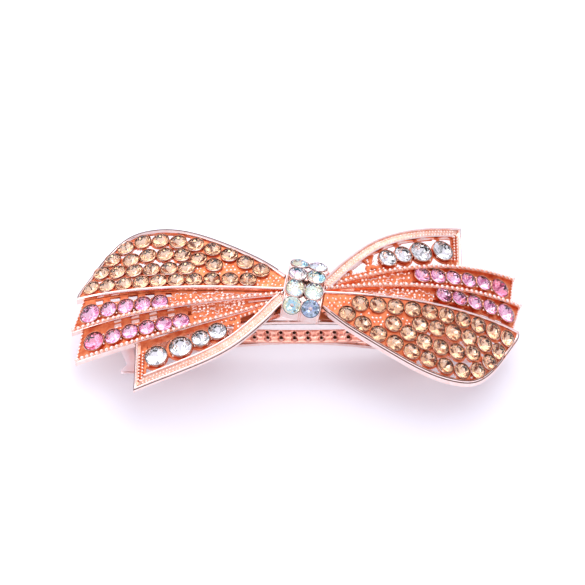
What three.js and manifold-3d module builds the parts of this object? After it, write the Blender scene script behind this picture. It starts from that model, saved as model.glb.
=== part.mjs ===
// Bow hair clip: a rose gold bow of four ribbons a side, set with round stones, on a spring hair clasp.
// Millimetres, +Z up. The origin is on the surface that the clip stands on, under the middle of the bow.
// The bow's two wings are one wing and its copy turned half a turn about Z.
import * as THREE from 'three';
import { mergeVertices } from 'three/addons/utils/BufferGeometryUtils.js';
import Module from 'manifold-3d';

const wasm = await Module();
wasm.setup();

// ---- Driving dimensions -------------------------------------------------------------------------------

const BOW_LEVEL = 20; // height of the stones beside the knot
const CLEARANCE = 0.3; // between pieces that rest on, or pass through, each other

const ribbon = { thickness: 1.1, underStones: 1.2, gap: 0.4, steps: 20 };
const rim = { width: 0.9, rise: 0.7 };
const knot = { turn: THREE.MathUtils.degToRad(-13), halfWidth: 4.2, outerRadius: 9.4, innerRadius: 8.3, halfSpan: 7.2 };
knot.axisLevel = BOW_LEVEL - 7.5;
knot.footLevel = BOW_LEVEL - 3.3;

const clasp = { y: -2, halfLength: 38 };
const plate = { halfWidth: 4, thickness: 0.9, topLevel: BOW_LEVEL - 3.7, radius: 135 };
const ear = { inner: 3.3, outer: 4, roundRadius: 1.9 };
const pin = { x: 37.5, z: 2.5, radius: 0.7, headRadius: 1.2, headInner: 4.4, headOuter: 4.9 };
const knuckle = { inner: pin.radius + CLEARANCE, outer: 1.6, halfWidth: 2.9 };
const arm = { thickness: 0.9, topLevel: 4.95, radius: 120, archEnd: 28, waist: 1.4, endHalfWidth: 3, tipHalfWidth: 4.2 };
const slot = { low: -36.4, high: -33.6, halfWidth: 2.9 };
const spring = { thickness: 0.5, halfWidth: 1.8, lowLevel: 5.5, rise: 0.0028, footX: 31.3, footLevel: 10.55 };
const bracket = { low: -40, high: -33, halfWidth: 3.4, topLevel: 9.75, thickness: 0.7 };
const rivet = { radius: 0.8, holeRadius: 1.1, headRadius: 1.5, headHeight: 0.5, catchX: -36 };

const roseGold = { color: 0xe9b49f, roughness: 0.22, metalness: 1 };
const paleGold = { color: 0xf1cdbf, roughness: 0.18, metalness: 1 };
const springGold = { color: 0xe08a66, roughness: 0.3, metalness: 1 };
const pinkGlass = { color: 0xef9cc0, roughness: 0.06, metalness: 0 };
const clearGlass = { color: 0xf2f4f6, roughness: 0.04, metalness: 0 };
const rainbowGlass = { color: 0xe6f0f4, roughness: 0.04, metalness: 0 };

// ---- Solids -------------------------------------------------------------------------------------------

/** Merges a geometry's shared corners, so that it is one closed surface. */
function closed(geometry) {
  geometry.deleteAttribute('normal');
  geometry.deleteAttribute('uv');
  return mergeVertices(geometry, 1e-4);
}

/** Turns a closed geometry into a solid that can be joined and cut. */
function toSolid(geometry) {
  const merged = closed(geometry);
  return new wasm.Manifold(new wasm.Mesh({
    numProp: 3,
    vertProperties: new Float32Array(merged.attributes.position.array),
    triVerts: new Uint32Array(merged.index.array),
  }));
}

/** Turns a solid back into a geometry. */
function toGeometry(solid) {
  const mesh = solid.getMesh();
  const geometry = new THREE.BufferGeometry();
  geometry.setAttribute('position', new THREE.BufferAttribute(mesh.vertProperties, 3));
  geometry.setIndex(new THREE.BufferAttribute(mesh.triVerts, 1));
  return geometry;
}

/** Extrudes an outline drawn in X and Z from yLow to yHigh. */
function sideExtrude(outline, yLow, yHigh) {
  const geometry = new THREE.ExtrudeGeometry(outline, { depth: yHigh - yLow, bevelEnabled: false, curveSegments: 8 });
  geometry.rotateX(Math.PI / 2);
  geometry.translate(0, yHigh, 0);
  return geometry;
}

/** An upright cylinder between two levels. */
function upright(radius, x, y, zLow, zHigh, sides = 12) {
  const geometry = new THREE.CylinderGeometry(radius, radius, zHigh - zLow, sides);
  geometry.rotateX(Math.PI / 2);
  geometry.translate(x, y, (zLow + zHigh) / 2);
  return geometry;
}

/** A cylinder along Y, centred on the hinge pin's axis. */
function crossways(radius, yLow, yHigh, sides = 16) {
  const geometry = new THREE.CylinderGeometry(radius, radius, yHigh - yLow, sides);
  geometry.translate(pin.x, (yLow + yHigh) / 2, pin.z);
  return geometry;
}

/** A box between two corners. */
function block(low, high) {
  const geometry = new THREE.BoxGeometry(high[0] - low[0], high[1] - low[1], high[2] - low[2]);
  geometry.translate((low[0] + high[0]) / 2, (low[1] + high[1]) / 2, (low[2] + high[2]) / 2);
  return geometry;
}

/** A closed outline of a strip that follows a line of points, thickness below it. */
function stripOutline(points, thickness) {
  const upper = points.map(([x, z]) => new THREE.Vector2(x, z));
  const lower = points.map(([x, z]) => new THREE.Vector2(x, z - thickness)).reverse();
  return new THREE.Shape([...upper, ...lower]);
}

/** Points at even steps of x, with a height from a function of x. */
function sampled(low, high, steps, height) {
  return Array.from({ length: steps + 1 }, (_, k) => {
    const x = low + ((high - low) * k) / steps;
    return [x, height(x)];
  });
}

const root = new THREE.Group();

/** Adds a named piece to the clip. */
function piece(name, geometry, finish) {
  const mesh = new THREE.Mesh(geometry, new THREE.MeshStandardMaterial(finish));
  mesh.name = name;
  root.add(mesh);
  return mesh;
}

/** Adds a piece of the right wing and its half-turn copy on the left wing. */
function onBothWings(name, makeGeometry, finish) {
  piece(`right_${name}`, makeGeometry(), finish);
  piece(`left_${name}`, makeGeometry().rotateZ(Math.PI), finish);
}

// ---- The wing's lines and surfaces ---------------------------------------------------------------------

/** The fold that all the ribbons start from, seen from above. */
const ridgeY = (x) => -0.3 - 0.032 * x - 0.00112 * x * x;
/** The beaded edge of the inner streamer. */
const innerBeadY = (x) => 0.1 + 0.125 * x - 0.00125 * x * x;
/** The beaded edge of the outer streamer. */
const outerBeadY = (x) => -0.4 + 0.419 * x - 0.00397 * x * x;
/** The fold arches down towards the ribbon ends. */
const ridgeZ = (x) => BOW_LEVEL + 0.05 - 9e-5 * x ** 3;

/** Level of the stones on each ribbon. */
const level = {
  loop(x, y) {
    const distance = Math.max(0, ridgeY(x) - y);
    return ridgeZ(x) - (0.4 + 0.022 * x) * (0.19 * distance - 0.002 * distance * distance);
  },
  innerStreamer: (x) => ridgeZ(x) - 0.5,
  outerStreamer: (x) => ridgeZ(x) - 1.2,
  tail: (x) => ridgeZ(x) - 0.15 - 0.06 * (x - 6),
};

/** An edge that follows a height function of x between two ends. */
const edgeAlong = (yAt, xLow, xHigh, offset = 0) => (t) => {
  const x = xLow + (xHigh - xLow) * t;
  return [x, yAt(x) + offset];
};

/** An edge that follows a smooth curve through a few points, at even steps of its length. */
const edgeThrough = (points) => {
  const curve = new THREE.SplineCurve(points.map(([x, y]) => new THREE.Vector2(x, y)));
  return (t) => curve.getPointAt(t).toArray();
};

/**
 * A ribbon between two edges: a thin arched panel, with a raised rim along both edges where rimmed.
 * lowEdge is the one with the smaller y.
 */
function ribbonGeometry(lowEdge, highEdge, levelAt, rimmed) {
  const stations = rimmed ? 7 : 3;
  const geometry = new THREE.BoxGeometry(1, 1, 1, ribbon.steps, stations, 1);
  const position = geometry.attributes.position;
  for (let k = 0; k < position.count; k += 1) {
    const t = position.getX(k) + 0.5;
    const row = Math.round((position.getY(k) + 0.5) * stations);
    const [xLow, yLow] = lowEdge(t);
    const [xHigh, yHigh] = highEdge(t);
    const width = Math.hypot(xHigh - xLow, yHigh - yLow);
    const rimShare = Math.min(0.3, rim.width / width);
    const shares = rimmed
      ? [0, rimShare, rimShare * 1.2, 0.37, 0.63, 1 - rimShare * 1.2, 1 - rimShare, 1]
      : [0, 1 / 3, 2 / 3, 1];
    const onRim = rimmed && (row <= 1 || row >= stations - 1);
    const x = xLow + (xHigh - xLow) * shares[row];
    const y = yLow + (yHigh - yLow) * shares[row];
    const top = levelAt(x, y) - ribbon.underStones;
    const isTop = position.getZ(k) > 0;
    position.setXYZ(k, x, y, isTop ? top + (onRim ? rim.rise : 0) : top - ribbon.thickness);
  }
  return closed(geometry);
}

const loopRim = edgeThrough([[3.6, -4.2], [9, -8.8], [18, -14.6], [25, -18.1], [31, -19.4], [36.3, -18.6],
  [41, -14.7], [46.7, -6.9]]);
const tailRim = edgeThrough([[5.5, 3.9], [9, 7.6], [15, 12.8], [21, 16.2], [28.5, 18.8], [36.9, 20.9]]);

onBothWings('loop', () => ribbonGeometry(loopRim, edgeAlong(ridgeY, 4.5, 47.8), level.loop, true), roseGold);
onBothWings('inner_streamer', () => ribbonGeometry(
  edgeAlong(ridgeY, 4.6, 46.5, ribbon.gap), edgeAlong(innerBeadY, 4.8, 49.1), level.innerStreamer, false), roseGold);
onBothWings('outer_streamer', () => ribbonGeometry(
  edgeAlong(innerBeadY, 4.9, 47, ribbon.gap), edgeAlong(outerBeadY, 5, 48.5), level.outerStreamer, false), roseGold);
onBothWings('tail', () => ribbonGeometry(
  edgeAlong(outerBeadY, 5.1, 36, ribbon.gap), tailRim, level.tail, true), roseGold);

// ---- Stones -------------------------------------------------------------------------------------------

const STONE_HEIGHT = 0.95;
const STONE_SIDES = 10;

/** A round stone in its cup: closed cup below, crown and table above. Its base is at the origin. */
function stoneGeometry(diameter) {
  const radius = diameter / 2;
  const profile = [[0, 0], [radius * 0.82, 0], [radius, 0.45], [radius * 0.62, STONE_HEIGHT], [0, STONE_HEIGHT]];
  return closed(new THREE.LatheGeometry(profile.map(([r, z]) => new THREE.Vector2(r, z)), STONE_SIDES));
}

/** A stone with its axis along up, and the middle of its table at top. */
function setStone(diameter, top, up) {
  const geometry = stoneGeometry(diameter);
  geometry.applyQuaternion(new THREE.Quaternion().setFromUnitVectors(new THREE.Vector3(0, 1, 0), up));
  const base = top.clone().addScaledVector(up, -STONE_HEIGHT);
  return geometry.translate(base.x, base.y, base.z);
}

/** A stone on a ribbon, square to the ribbon's surface. */
function ribbonStone(diameter, x, y, levelAt) {
  const step = 0.5;
  const slopeX = (levelAt(x + step, y) - levelAt(x - step, y)) / (2 * step);
  const slopeY = (levelAt(x, y + step) - levelAt(x, y - step)) / (2 * step);
  const up = new THREE.Vector3(-slopeX, -slopeY, 1).normalize();
  return setStone(diameter, new THREE.Vector3(x, y, levelAt(x, y)), up);
}

/** A row of stones along a ribbon, the last one larger. */
function stoneRow(name, count, place, sizes, levelAt, finish) {
  for (let k = 0; k < count; k += 1) {
    const [x, y] = place(k);
    const diameter = sizes(k);
    onBothWings(`${name}_${k + 1}`, () => ribbonStone(diameter, x, y, levelAt), finish);
  }
}

const PINK_PITCH = 3.6;
const lastIsLarger = (count) => (k) => (k === count - 1 ? 4.2 : 3.4);

stoneRow('inner_pink_stone', 5, (k) => [31 + PINK_PITCH * k + (k === 4 ? 0.3 : 0), 1 - 0.22 * k],
  lastIsLarger(5), level.innerStreamer, pinkGlass);
stoneRow('outer_pink_stone', 6, (k) => [26.7 + PINK_PITCH * k + (k === 5 ? 0.4 : 0), 6 + 0.95 * Math.min(1, k / 4)],
  lastIsLarger(6), level.outerStreamer, pinkGlass);

const clearSizes = [3.7, 3.7, 4.7, 4.7];
const clearPlaces = [[19.2, 9.5], [22.8, 10.9], [27.1, 12.3], [32.3, 13.7]];
stoneRow('clear_stone', 4, (k) => clearPlaces[k], (k) => clearSizes[k], level.tail, clearGlass);

// ---- Knot ---------------------------------------------------------------------------------------------

/** The band that is wrapped over the middle of the bow: an arch with straight legs. */
function knotBand() {
  const legAngle = Math.asin(knot.halfSpan / knot.outerRadius);
  const innerAngle = Math.asin((knot.halfSpan - 1) / knot.innerRadius);
  const outline = new THREE.Shape();
  outline.moveTo(knot.halfSpan, knot.footLevel);
  outline.absarc(0, knot.axisLevel, knot.outerRadius, Math.PI / 2 - legAngle, Math.PI / 2 + legAngle, false);
  outline.lineTo(-knot.halfSpan, knot.footLevel);
  outline.lineTo(1 - knot.halfSpan, knot.footLevel);
  outline.absarc(0, knot.axisLevel, knot.innerRadius, Math.PI / 2 + innerAngle, Math.PI / 2 - innerAngle, true);
  outline.lineTo(knot.halfSpan - 1, knot.footLevel);
  const geometry = sideExtrude(outline, -knot.halfWidth, knot.halfWidth);
  return closed(geometry.rotateZ(Math.PI / 2 + knot.turn));
}

piece('knot_band', knotBand(), paleGold);
piece('center_saddle', closed(block([-3.9, -5, BOW_LEVEL - 3.4], [3.9, 5, BOW_LEVEL - 1.3]).rotateZ(knot.turn)), roseGold);

const knotStones = { diameter: 3.7, halfSpacing: 2, radius: 10.6, pitch: THREE.MathUtils.degToRad(21.4) };
for (let row = 0; row < 4; row += 1) {
  for (let column = 0; column < 2; column += 1) {
    const tilt = (row - 1.5) * knotStones.pitch;
    const up = new THREE.Vector3(0, Math.sin(tilt), Math.cos(tilt));
    const top = up.clone().multiplyScalar(knotStones.radius);
    top.x = (column - 0.5) * 2 * knotStones.halfSpacing;
    top.z += knot.axisLevel;
    const geometry = setStone(knotStones.diameter, top, up).rotateZ(knot.turn);
    piece(`knot_stone_${row * 2 + column + 1}`, geometry, rainbowGlass);
  }
}

// ---- Clasp: plate, rivets and catch bracket --------------------------------------------------------------

const plateTop = (x) => plate.topLevel - (x * x) / (2 * plate.radius);
const PLATE_STEPS = 24;

/** The arched plate behind the bow, with two ears bent down at its hinge end. */
function basePlate() {
  const outline = stripOutline(sampled(-clasp.halfLength, clasp.halfLength, PLATE_STEPS, plateTop), plate.thickness);
  let solid = toSolid(sideExtrude(outline, clasp.y - plate.halfWidth, clasp.y + plate.halfWidth));
  const earOutline = new THREE.Shape();
  earOutline.moveTo(34.2, plateTop(34.2) - plate.thickness / 2);
  earOutline.lineTo(pin.x - ear.roundRadius, pin.z);
  earOutline.absarc(pin.x, pin.z, ear.roundRadius, Math.PI, 2 * Math.PI, false);
  earOutline.lineTo(clasp.halfLength, plateTop(clasp.halfLength) - plate.thickness / 2);
  for (const [low, high] of [[-ear.outer, -ear.inner], [ear.inner, ear.outer]]) {
    solid = solid.add(toSolid(sideExtrude(earOutline, clasp.y + low, clasp.y + high)));
  }
  solid = solid.subtract(toSolid(crossways(knuckle.inner, clasp.y - 6, clasp.y + 6)));
  for (const x of [rivet.catchX, spring.footX]) {
    solid = solid.subtract(toSolid(upright(rivet.holeRadius, x, clasp.y, 5, BOW_LEVEL)));
  }
  return toGeometry(solid);
}

/** A rivet: its shank ends flush in the plate, and its head is below the piece that it holds. */
function rivetGeometry(x, headTop) {
  const shankTop = plateTop(Math.abs(x) + rivet.radius) - 0.1;
  const shank = toSolid(upright(rivet.radius, x, clasp.y, headTop - rivet.headHeight / 2, shankTop));
  const head = toSolid(upright(rivet.headRadius, x, clasp.y, headTop - rivet.headHeight, headTop, 16));
  return toGeometry(shank.add(head));
}

piece('base_plate', basePlate(), paleGold);

const bracketLow = bracket.topLevel - bracket.thickness;
const bracketBlock = toSolid(block([bracket.low, clasp.y - bracket.halfWidth, bracketLow],
  [bracket.high, clasp.y + bracket.halfWidth, bracket.topLevel]));
const bracketHole = toSolid(upright(rivet.holeRadius, rivet.catchX, clasp.y, 5, BOW_LEVEL));
piece('catch_bracket', toGeometry(bracketBlock.subtract(bracketHole)), roseGold);
piece('catch_rivet', rivetGeometry(rivet.catchX, bracketLow - CLEARANCE), paleGold);
piece('spring_rivet', rivetGeometry(spring.footX, spring.footLevel - spring.thickness - CLEARANCE), paleGold);

/** The hinge pin, with a head outside each ear. */
function hingePin() {
  const shank = toSolid(crossways(pin.radius, clasp.y - pin.headOuter, clasp.y + pin.headOuter));
  const nearHead = toSolid(crossways(pin.headRadius, clasp.y - pin.headOuter, clasp.y - pin.headInner));
  const farHead = toSolid(crossways(pin.headRadius, clasp.y + pin.headInner, clasp.y + pin.headOuter));
  return toGeometry(shank.add(nearHead).add(farHead));
}

piece('hinge_pin', hingePin(), paleGold);

// Small blocks of solder hold the streamers on the plate.
onBothWings('solder_post', () => closed(block([20.5, -0.8, BOW_LEVEL - 5], [23.5, 1.6, BOW_LEVEL - 4])), roseGold);

// ---- Clasp: moving pieces ------------------------------------------------------------------------------

/** Half the closing arm's width: a slim waist, wider ends, and a wide slotted tip. */
const armPlan = [[-37.6, arm.tipHalfWidth - 1], [-36.6, arm.tipHalfWidth], [-32.6, arm.tipHalfWidth],
  [-30, arm.endHalfWidth], [-18, 2], [0, arm.waist], [18, 2], [30, arm.endHalfWidth], [40, arm.endHalfWidth]];

/** The arm that closes over the hair: an arched strip with flat pads, a slotted tip and a rolled hinge eye. */
function closingArm() {
  const padTop = arm.thickness;
  const tipTop = 2;
  const arch = sampled(-arm.archEnd, arm.archEnd, 16, (x) => arm.topLevel - (x * x) / (2 * arm.radius));
  const line = [[-37.6, tipTop], [-34, tipTop], [-32.4, padTop], [-29.8, padTop], ...arch, [29.8, padTop],
    [33.2, padTop], [pin.x, pin.z - knuckle.inner - 0.1]];
  const eye = toSolid(crossways(knuckle.outer, clasp.y - knuckle.halfWidth, clasp.y + knuckle.halfWidth));
  const bore = toSolid(crossways(knuckle.inner, clasp.y - 6, clasp.y + 6));
  const nearSide = armPlan.map(([x, half]) => new THREE.Vector2(x, clasp.y - half));
  const farSide = armPlan.map(([x, half]) => new THREE.Vector2(x, clasp.y + half)).reverse();
  const plan = new THREE.ExtrudeGeometry(new THREE.Shape([...nearSide, ...farSide]), { depth: 8, bevelEnabled: false });
  const window = block([slot.low, clasp.y - slot.halfWidth, -1], [slot.high, clasp.y + slot.halfWidth, 4]);
  const strip = toSolid(sideExtrude(stripOutline(line, arm.thickness), clasp.y - 6, clasp.y + 6));
  return toGeometry(strip.intersect(toSolid(plan.translate(0, 0, -1))).add(eye).subtract(bore).subtract(toSolid(window)));
}

piece('closing_arm', closingArm(), roseGold);

/** The leaf spring that presses on the hair: a bowed strip, riveted to the plate by its raised foot. */
function tensionSpring() {
  const bow = sampled(-31, 21, 18, (x) => spring.lowLevel + 0.25 + spring.rise * x * x);
  const line = [...bow, [25, 8.7], [27.4, 10.2], [28.8, spring.footLevel], [34, spring.footLevel]];
  const strip = toSolid(sideExtrude(stripOutline(line, spring.thickness), clasp.y - spring.halfWidth,
    clasp.y + spring.halfWidth));
  const hole = toSolid(upright(rivet.holeRadius, spring.footX, clasp.y, 5, BOW_LEVEL));
  return toGeometry(strip.subtract(hole));
}

piece('tension_spring', tensionSpring(), springGold);

/** One leg of the catch: a hook that passes through the arm's slot, and a finger tab that flares out. */
function catchProng(side) {
  const legTop = bracketLow - CLEARANCE;
  const leg = [[2.6, legTop], [3.2, legTop], [3.2, 6.8], [2.6, 6.8]];
  const hook = [[2.6, 7.2], [3.2, 7.2], [2.2, 2.6], [2.2, 0.8], [2.8, 0.8], [2.8, 0.5], [2, 0], [1.6, 0], [1.6, 2.7]];
  const tab = [[2.6, 7.2], [3.2, 7.2], [3.6, 6.7], [7.3, 3.6], [7.9, 3.3], [8, 2.8], [7.6, 2.5], [6.9, 2.9], [2.6, 6.4]];
  const spans = [[leg, -39.8, -33.9], [hook, -36.1, -33.9], [tab, -39.6, -36.6]];
  const solids = spans.map(([outline, low, high]) => {
    const shape = new THREE.Shape(outline.map(([distance, z]) => new THREE.Vector2(-side * distance, z)));
    return toSolid(sideExtrude(shape, low, high).rotateZ(-Math.PI / 2).translate(0, clasp.y, 0));
  });
  return toGeometry(solids[0].add(solids[1]).add(solids[2]));
}

piece('prong_front', catchProng(-1), paleGold);
piece('prong_rear', catchProng(1), paleGold);

export default root;
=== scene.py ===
"""Rose gold bow hair clip set with rhinestones, on its spring clasp, in soft studio light.

Sizes are in millimetres and turn to metres when a piece is finished. The right wing is modelled, and the
left wing is its copy turned half a turn about Z, as on the real clip.
"""

import logging
import math
import random
from collections.abc import Callable, Sequence
from dataclasses import dataclass, field
from enum import Enum

import bmesh
import bpy
from mathutils import Matrix, Vector


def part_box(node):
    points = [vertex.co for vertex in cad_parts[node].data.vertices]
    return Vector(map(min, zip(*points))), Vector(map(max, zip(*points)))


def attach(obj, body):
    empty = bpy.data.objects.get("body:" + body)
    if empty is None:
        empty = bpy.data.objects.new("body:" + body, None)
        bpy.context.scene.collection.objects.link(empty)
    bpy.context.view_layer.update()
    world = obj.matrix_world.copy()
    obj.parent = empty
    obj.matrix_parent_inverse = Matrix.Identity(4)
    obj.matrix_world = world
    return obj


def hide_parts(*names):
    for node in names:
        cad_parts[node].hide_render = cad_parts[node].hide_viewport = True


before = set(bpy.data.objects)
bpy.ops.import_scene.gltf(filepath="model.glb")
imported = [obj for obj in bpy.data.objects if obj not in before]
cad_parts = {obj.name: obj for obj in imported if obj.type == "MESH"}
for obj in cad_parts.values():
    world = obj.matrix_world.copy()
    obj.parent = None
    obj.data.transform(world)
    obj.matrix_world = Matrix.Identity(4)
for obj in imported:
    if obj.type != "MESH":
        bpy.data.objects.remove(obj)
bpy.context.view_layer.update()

log = logging.getLogger("hair_clip")

MM = 0.001
HALF_TURN = Matrix.Rotation(math.pi, 4, "Z")
SMOOTH_BELOW = math.radians(38)  # faces that meet at less than this angle are shaded as one surface

Point2 = tuple[float, float]
Colour = tuple[float, float, float]


class Body(Enum):
    """The clip's moving bodies."""

    BOW = "bow"
    ARM = "arm"
    SPRING = "spring"
    FRONT_PRONG = "front_prong"
    REAR_PRONG = "rear_prong"


class Slot(Enum):
    """Material slots of the part's record."""

    CASTING = "rose_gold_casting"
    SHEET = "pale_gold_sheet"
    SPRING = "spring_sheet"
    PINK = "pink_stone"
    CLEAR = "clear_stone"
    RAINBOW = "rainbow_stone"
    CHAMPAGNE = "champagne_stone"


# ---- Shader node groups -----------------------------------------------------------------------------------


def new_group(name: str, inputs: dict[str, tuple[str, object]],
              outputs: dict[str, str]) -> bpy.types.NodeTree:
    """Starts a shader node group.

    Args:
        name: The group's name.
        inputs: Socket name to its type and default value.
        outputs: Socket name to its type.

    Returns:
        The group, with its input and output nodes in place.
    """
    group = bpy.data.node_groups.new(name, "ShaderNodeTree")
    for label, (kind, default) in inputs.items():
        group.interface.new_socket(label, in_out="INPUT", socket_type=kind).default_value = default
    for label, kind in outputs.items():
        group.interface.new_socket(label, in_out="OUTPUT", socket_type=kind)
    group.nodes.new("NodeGroupInput").name = "in"
    group.nodes.new("NodeGroupOutput").name = "out"
    return group


def add_node(tree: bpy.types.NodeTree, kind: str, settings: dict | None = None,
             **inputs: object) -> bpy.types.Node:
    """Adds a node, with its settings and the values or links of its inputs.

    Args:
        tree: The node tree.
        kind: The node's type name.
        settings: Properties of the node itself.
        inputs: Socket name, with underscores for spaces, or i and its number, to a value or a link.

    Returns:
        The new node.
    """
    node = tree.nodes.new(kind)
    for label, value in (settings or {}).items():
        setattr(node, label, value)
    for label, value in inputs.items():
        numbered = label[0] == "i" and label[1:].isdigit()
        socket = node.inputs[int(label[1:]) if numbered else label.replace("_", " ")]
        if isinstance(value, bpy.types.NodeSocket):
            tree.links.new(value, socket)
        else:
            socket.default_value = value
    return node


def mix_colours(tree: bpy.types.NodeTree, share: object, one: object,
                other: object) -> bpy.types.NodeSocket:
    """Mixes two colours, each a value or a socket; a share of 0 gives the first and 1 the other."""
    mixed = add_node(tree, "ShaderNodeMix", {"data_type": "RGBA"}, i0=share, i6=one, i7=other)
    return mixed.outputs[2]


def plating_group() -> bpy.types.NodeTree:
    """Electroplate over a casting: colour that deepens in patches, cloudy polish and a rippled surface.

    Returns:
        A group with the outputs Color, Roughness and Height.
    """
    inputs = {
        "Light": ("NodeSocketColor", (1, 1, 1, 1)),
        "Deep": ("NodeSocketColor", (1, 0.5, 0.3, 1)),
        "Patch Scale": ("NodeSocketFloat", 900.0),
        "Polish": ("NodeSocketFloat", 0.15),
        "Cloud": ("NodeSocketFloat", 0.1),
    }
    group = new_group("plating", inputs, {"Color": "NodeSocketColor", "Roughness": "NodeSocketFloat",
                                          "Height": "NodeSocketFloat"})
    source, target = group.nodes["in"].outputs, group.nodes["out"].inputs
    place = add_node(group, "ShaderNodeTexCoord").outputs["Object"]
    patches = add_node(group, "ShaderNodeTexNoise", Vector=place, Scale=source["Patch Scale"], Detail=3.0)
    spread = add_node(group, "ShaderNodeMapRange", Value=patches.outputs["Fac"], From_Min=0.35,
                      From_Max=0.68)
    tone = mix_colours(group, spread.outputs["Result"], source["Light"], source["Deep"])
    group.links.new(tone, target["Color"])
    clouds = add_node(group, "ShaderNodeTexNoise", Vector=place, Scale=420.0, Detail=4.0)
    cloud = add_node(group, "ShaderNodeMath", {"operation": "MULTIPLY_ADD"}, i0=clouds.outputs["Fac"],
                     i1=source["Cloud"], i2=source["Polish"])
    group.links.new(cloud.outputs[0], target["Roughness"])
    ripple = add_node(group, "ShaderNodeTexNoise", Vector=place, Scale=1500.0, Detail=2.0)
    group.links.new(ripple.outputs["Fac"], target["Height"])
    return group


def flash_group() -> bpy.types.NodeTree:
    """A rainbow coating: pastel colours that change from place to place on a stone.

    Returns:
        A group with the output Color.
    """
    inputs = {"Base": ("NodeSocketColor", (1, 1, 1, 1)), "Amount": ("NodeSocketFloat", 0.5)}
    group = new_group("rainbow_flash", inputs, {"Color": "NodeSocketColor"})
    source, target = group.nodes["in"].outputs, group.nodes["out"].inputs
    place = add_node(group, "ShaderNodeTexCoord").outputs["Object"]
    cells = add_node(group, "ShaderNodeTexVoronoi", Vector=place, Scale=560.0)
    hue = add_node(group, "ShaderNodeSeparateColor", Color=cells.outputs["Color"])
    ramp = add_node(group, "ShaderNodeValToRGB", Fac=hue.outputs[0])
    stops = [(0.0, (0.3, 0.8, 1.0, 1)), (0.22, (1.0, 1.0, 0.98, 1)), (0.42, (1.0, 0.9, 0.5, 1)),
             (0.62, (1.0, 1.0, 0.98, 1)), (0.82, (0.75, 1.0, 0.85, 1)), (1.0, (1.0, 0.6, 0.8, 1))]
    elements = ramp.color_ramp.elements
    while len(elements) < len(stops):
        elements.new(0.5)
    for element, (position, colour) in zip(elements, stops):
        element.position = position
        element.color = colour
    mixed = mix_colours(group, source["Amount"], source["Base"], ramp.outputs["Color"])
    group.links.new(mixed, target["Color"])
    return group


def facet_reflection_group() -> bpy.types.NodeTree:
    """Foil behind cut glass, with painted reflection: some stretches of foil are painted darker than the
    next, standing in for dark surroundings seen in the stone.

    Returns:
        A group with the output Color.
    """
    inputs = {"Light": ("NodeSocketColor", (1, 1, 1, 1)), "Dark": ("NodeSocketColor", (0.3, 0.2, 0.1, 1))}
    group = new_group("foil_painted_reflection", inputs, {"Color": "NodeSocketColor"})
    source, target = group.nodes["in"].outputs, group.nodes["out"].inputs
    tone = add_node(group, "ShaderNodeAttribute", {"attribute_name": "facet_painted_reflection"})
    mixed = mix_colours(group, tone.outputs["Fac"], source["Light"], source["Dark"])
    group.links.new(mixed, target["Color"])
    return group


class Groups:
    """The node groups that several materials share, each built once."""

    def __init__(self) -> None:
        """Builds the groups."""
        self.plating = plating_group()
        self.flash = flash_group()
        self.tone = facet_reflection_group()


# ---- Finishes ---------------------------------------------------------------------------------------------


def start_material(name: str) -> tuple[bpy.types.Material, bpy.types.NodeTree, bpy.types.Node]:
    """Starts a node material.

    Args:
        name: The material's name.

    Returns:
        The material, its node tree and its Principled node.
    """
    material = bpy.data.materials.new(name)
    material.use_nodes = True
    tree = material.node_tree
    return material, tree, tree.nodes["Principled BSDF"]


def add_group(tree: bpy.types.NodeTree, group: bpy.types.NodeTree, **inputs: object) -> bpy.types.Node:
    """Places a node group in a material.

    Args:
        tree: The material's node tree.
        group: The node group.
        inputs: Values of the group's inputs, with underscores for spaces.

    Returns:
        The group's node.
    """
    node = tree.nodes.new("ShaderNodeGroup")
    node.node_tree = group
    for label, value in inputs.items():
        node.inputs[label.replace("_", " ")].default_value = value
    return node


@dataclass(frozen=True)
class MetalFinish:
    """A plated metal."""

    name: str
    light: Colour
    deep: Colour
    polish: float = 0.12
    cloud: float = 0.1
    ripple: float = 0.05
    patch_scale: float = 900.0
    metallic: float = 1.0

    def material(self, groups: Groups) -> bpy.types.Material:
        """Makes the material.

        Args:
            groups: The shared node groups.

        Returns:
            The material.
        """
        material, tree, shader = start_material(self.name)
        plating = add_group(tree, groups.plating, Light=(*self.light, 1), Deep=(*self.deep, 1),
                            Polish=self.polish,
                            Cloud=self.cloud, Patch_Scale=self.patch_scale)
        shader.inputs["Metallic"].default_value = self.metallic
        tree.links.new(plating.outputs["Color"], shader.inputs["Base Color"])
        tree.links.new(plating.outputs["Roughness"], shader.inputs["Roughness"])
        bump = add_node(tree, "ShaderNodeBump", Height=plating.outputs["Height"], Strength=self.ripple,
                        Distance=0.00005)
        tree.links.new(bump.outputs["Normal"], shader.inputs["Normal"])
        return material


@dataclass(frozen=True)
class GlassFinish:
    """The glass of a stone's crown."""

    name: str
    colour: Colour
    ior: float = 1.52
    film: float = 0.0

    def material(self) -> bpy.types.Material:
        """Makes the material.

        Returns:
            The material.
        """
        material, _tree, shader = start_material(self.name)
        shader.inputs["Base Color"].default_value = (*self.colour, 1)
        shader.inputs["Transmission Weight"].default_value = 1.0
        shader.inputs["Roughness"].default_value = 0.0
        shader.inputs["IOR"].default_value = self.ior
        shader.inputs["Thin Film Thickness"].default_value = self.film
        return material


@dataclass(frozen=True)
class FoilFinish:
    """The mirror foil behind a stone; its dark colour is painted reflection on some facets."""

    name: str
    light: Colour
    # dark: the painted reflection of dark surroundings, given to some facets.
    dark: Colour
    flash: float = 0.0

    def material(self, groups: Groups) -> bpy.types.Material:
        """Makes the material.

        Args:
            groups: The shared node groups.

        Returns:
            The material.
        """
        material, tree, shader = start_material(self.name)
        tone = add_group(tree, groups.tone, Light=(*self.light, 1), Dark=(*self.dark, 1))
        colour = tone.outputs["Color"]
        if self.flash:
            flash = add_group(tree, groups.flash, Amount=self.flash)
            tree.links.new(colour, flash.inputs["Base"])
            colour = flash.outputs["Color"]
        tree.links.new(colour, shader.inputs["Base Color"])
        shader.inputs["Metallic"].default_value = 1.0
        shader.inputs["Roughness"].default_value = 0.07
        return material


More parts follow.
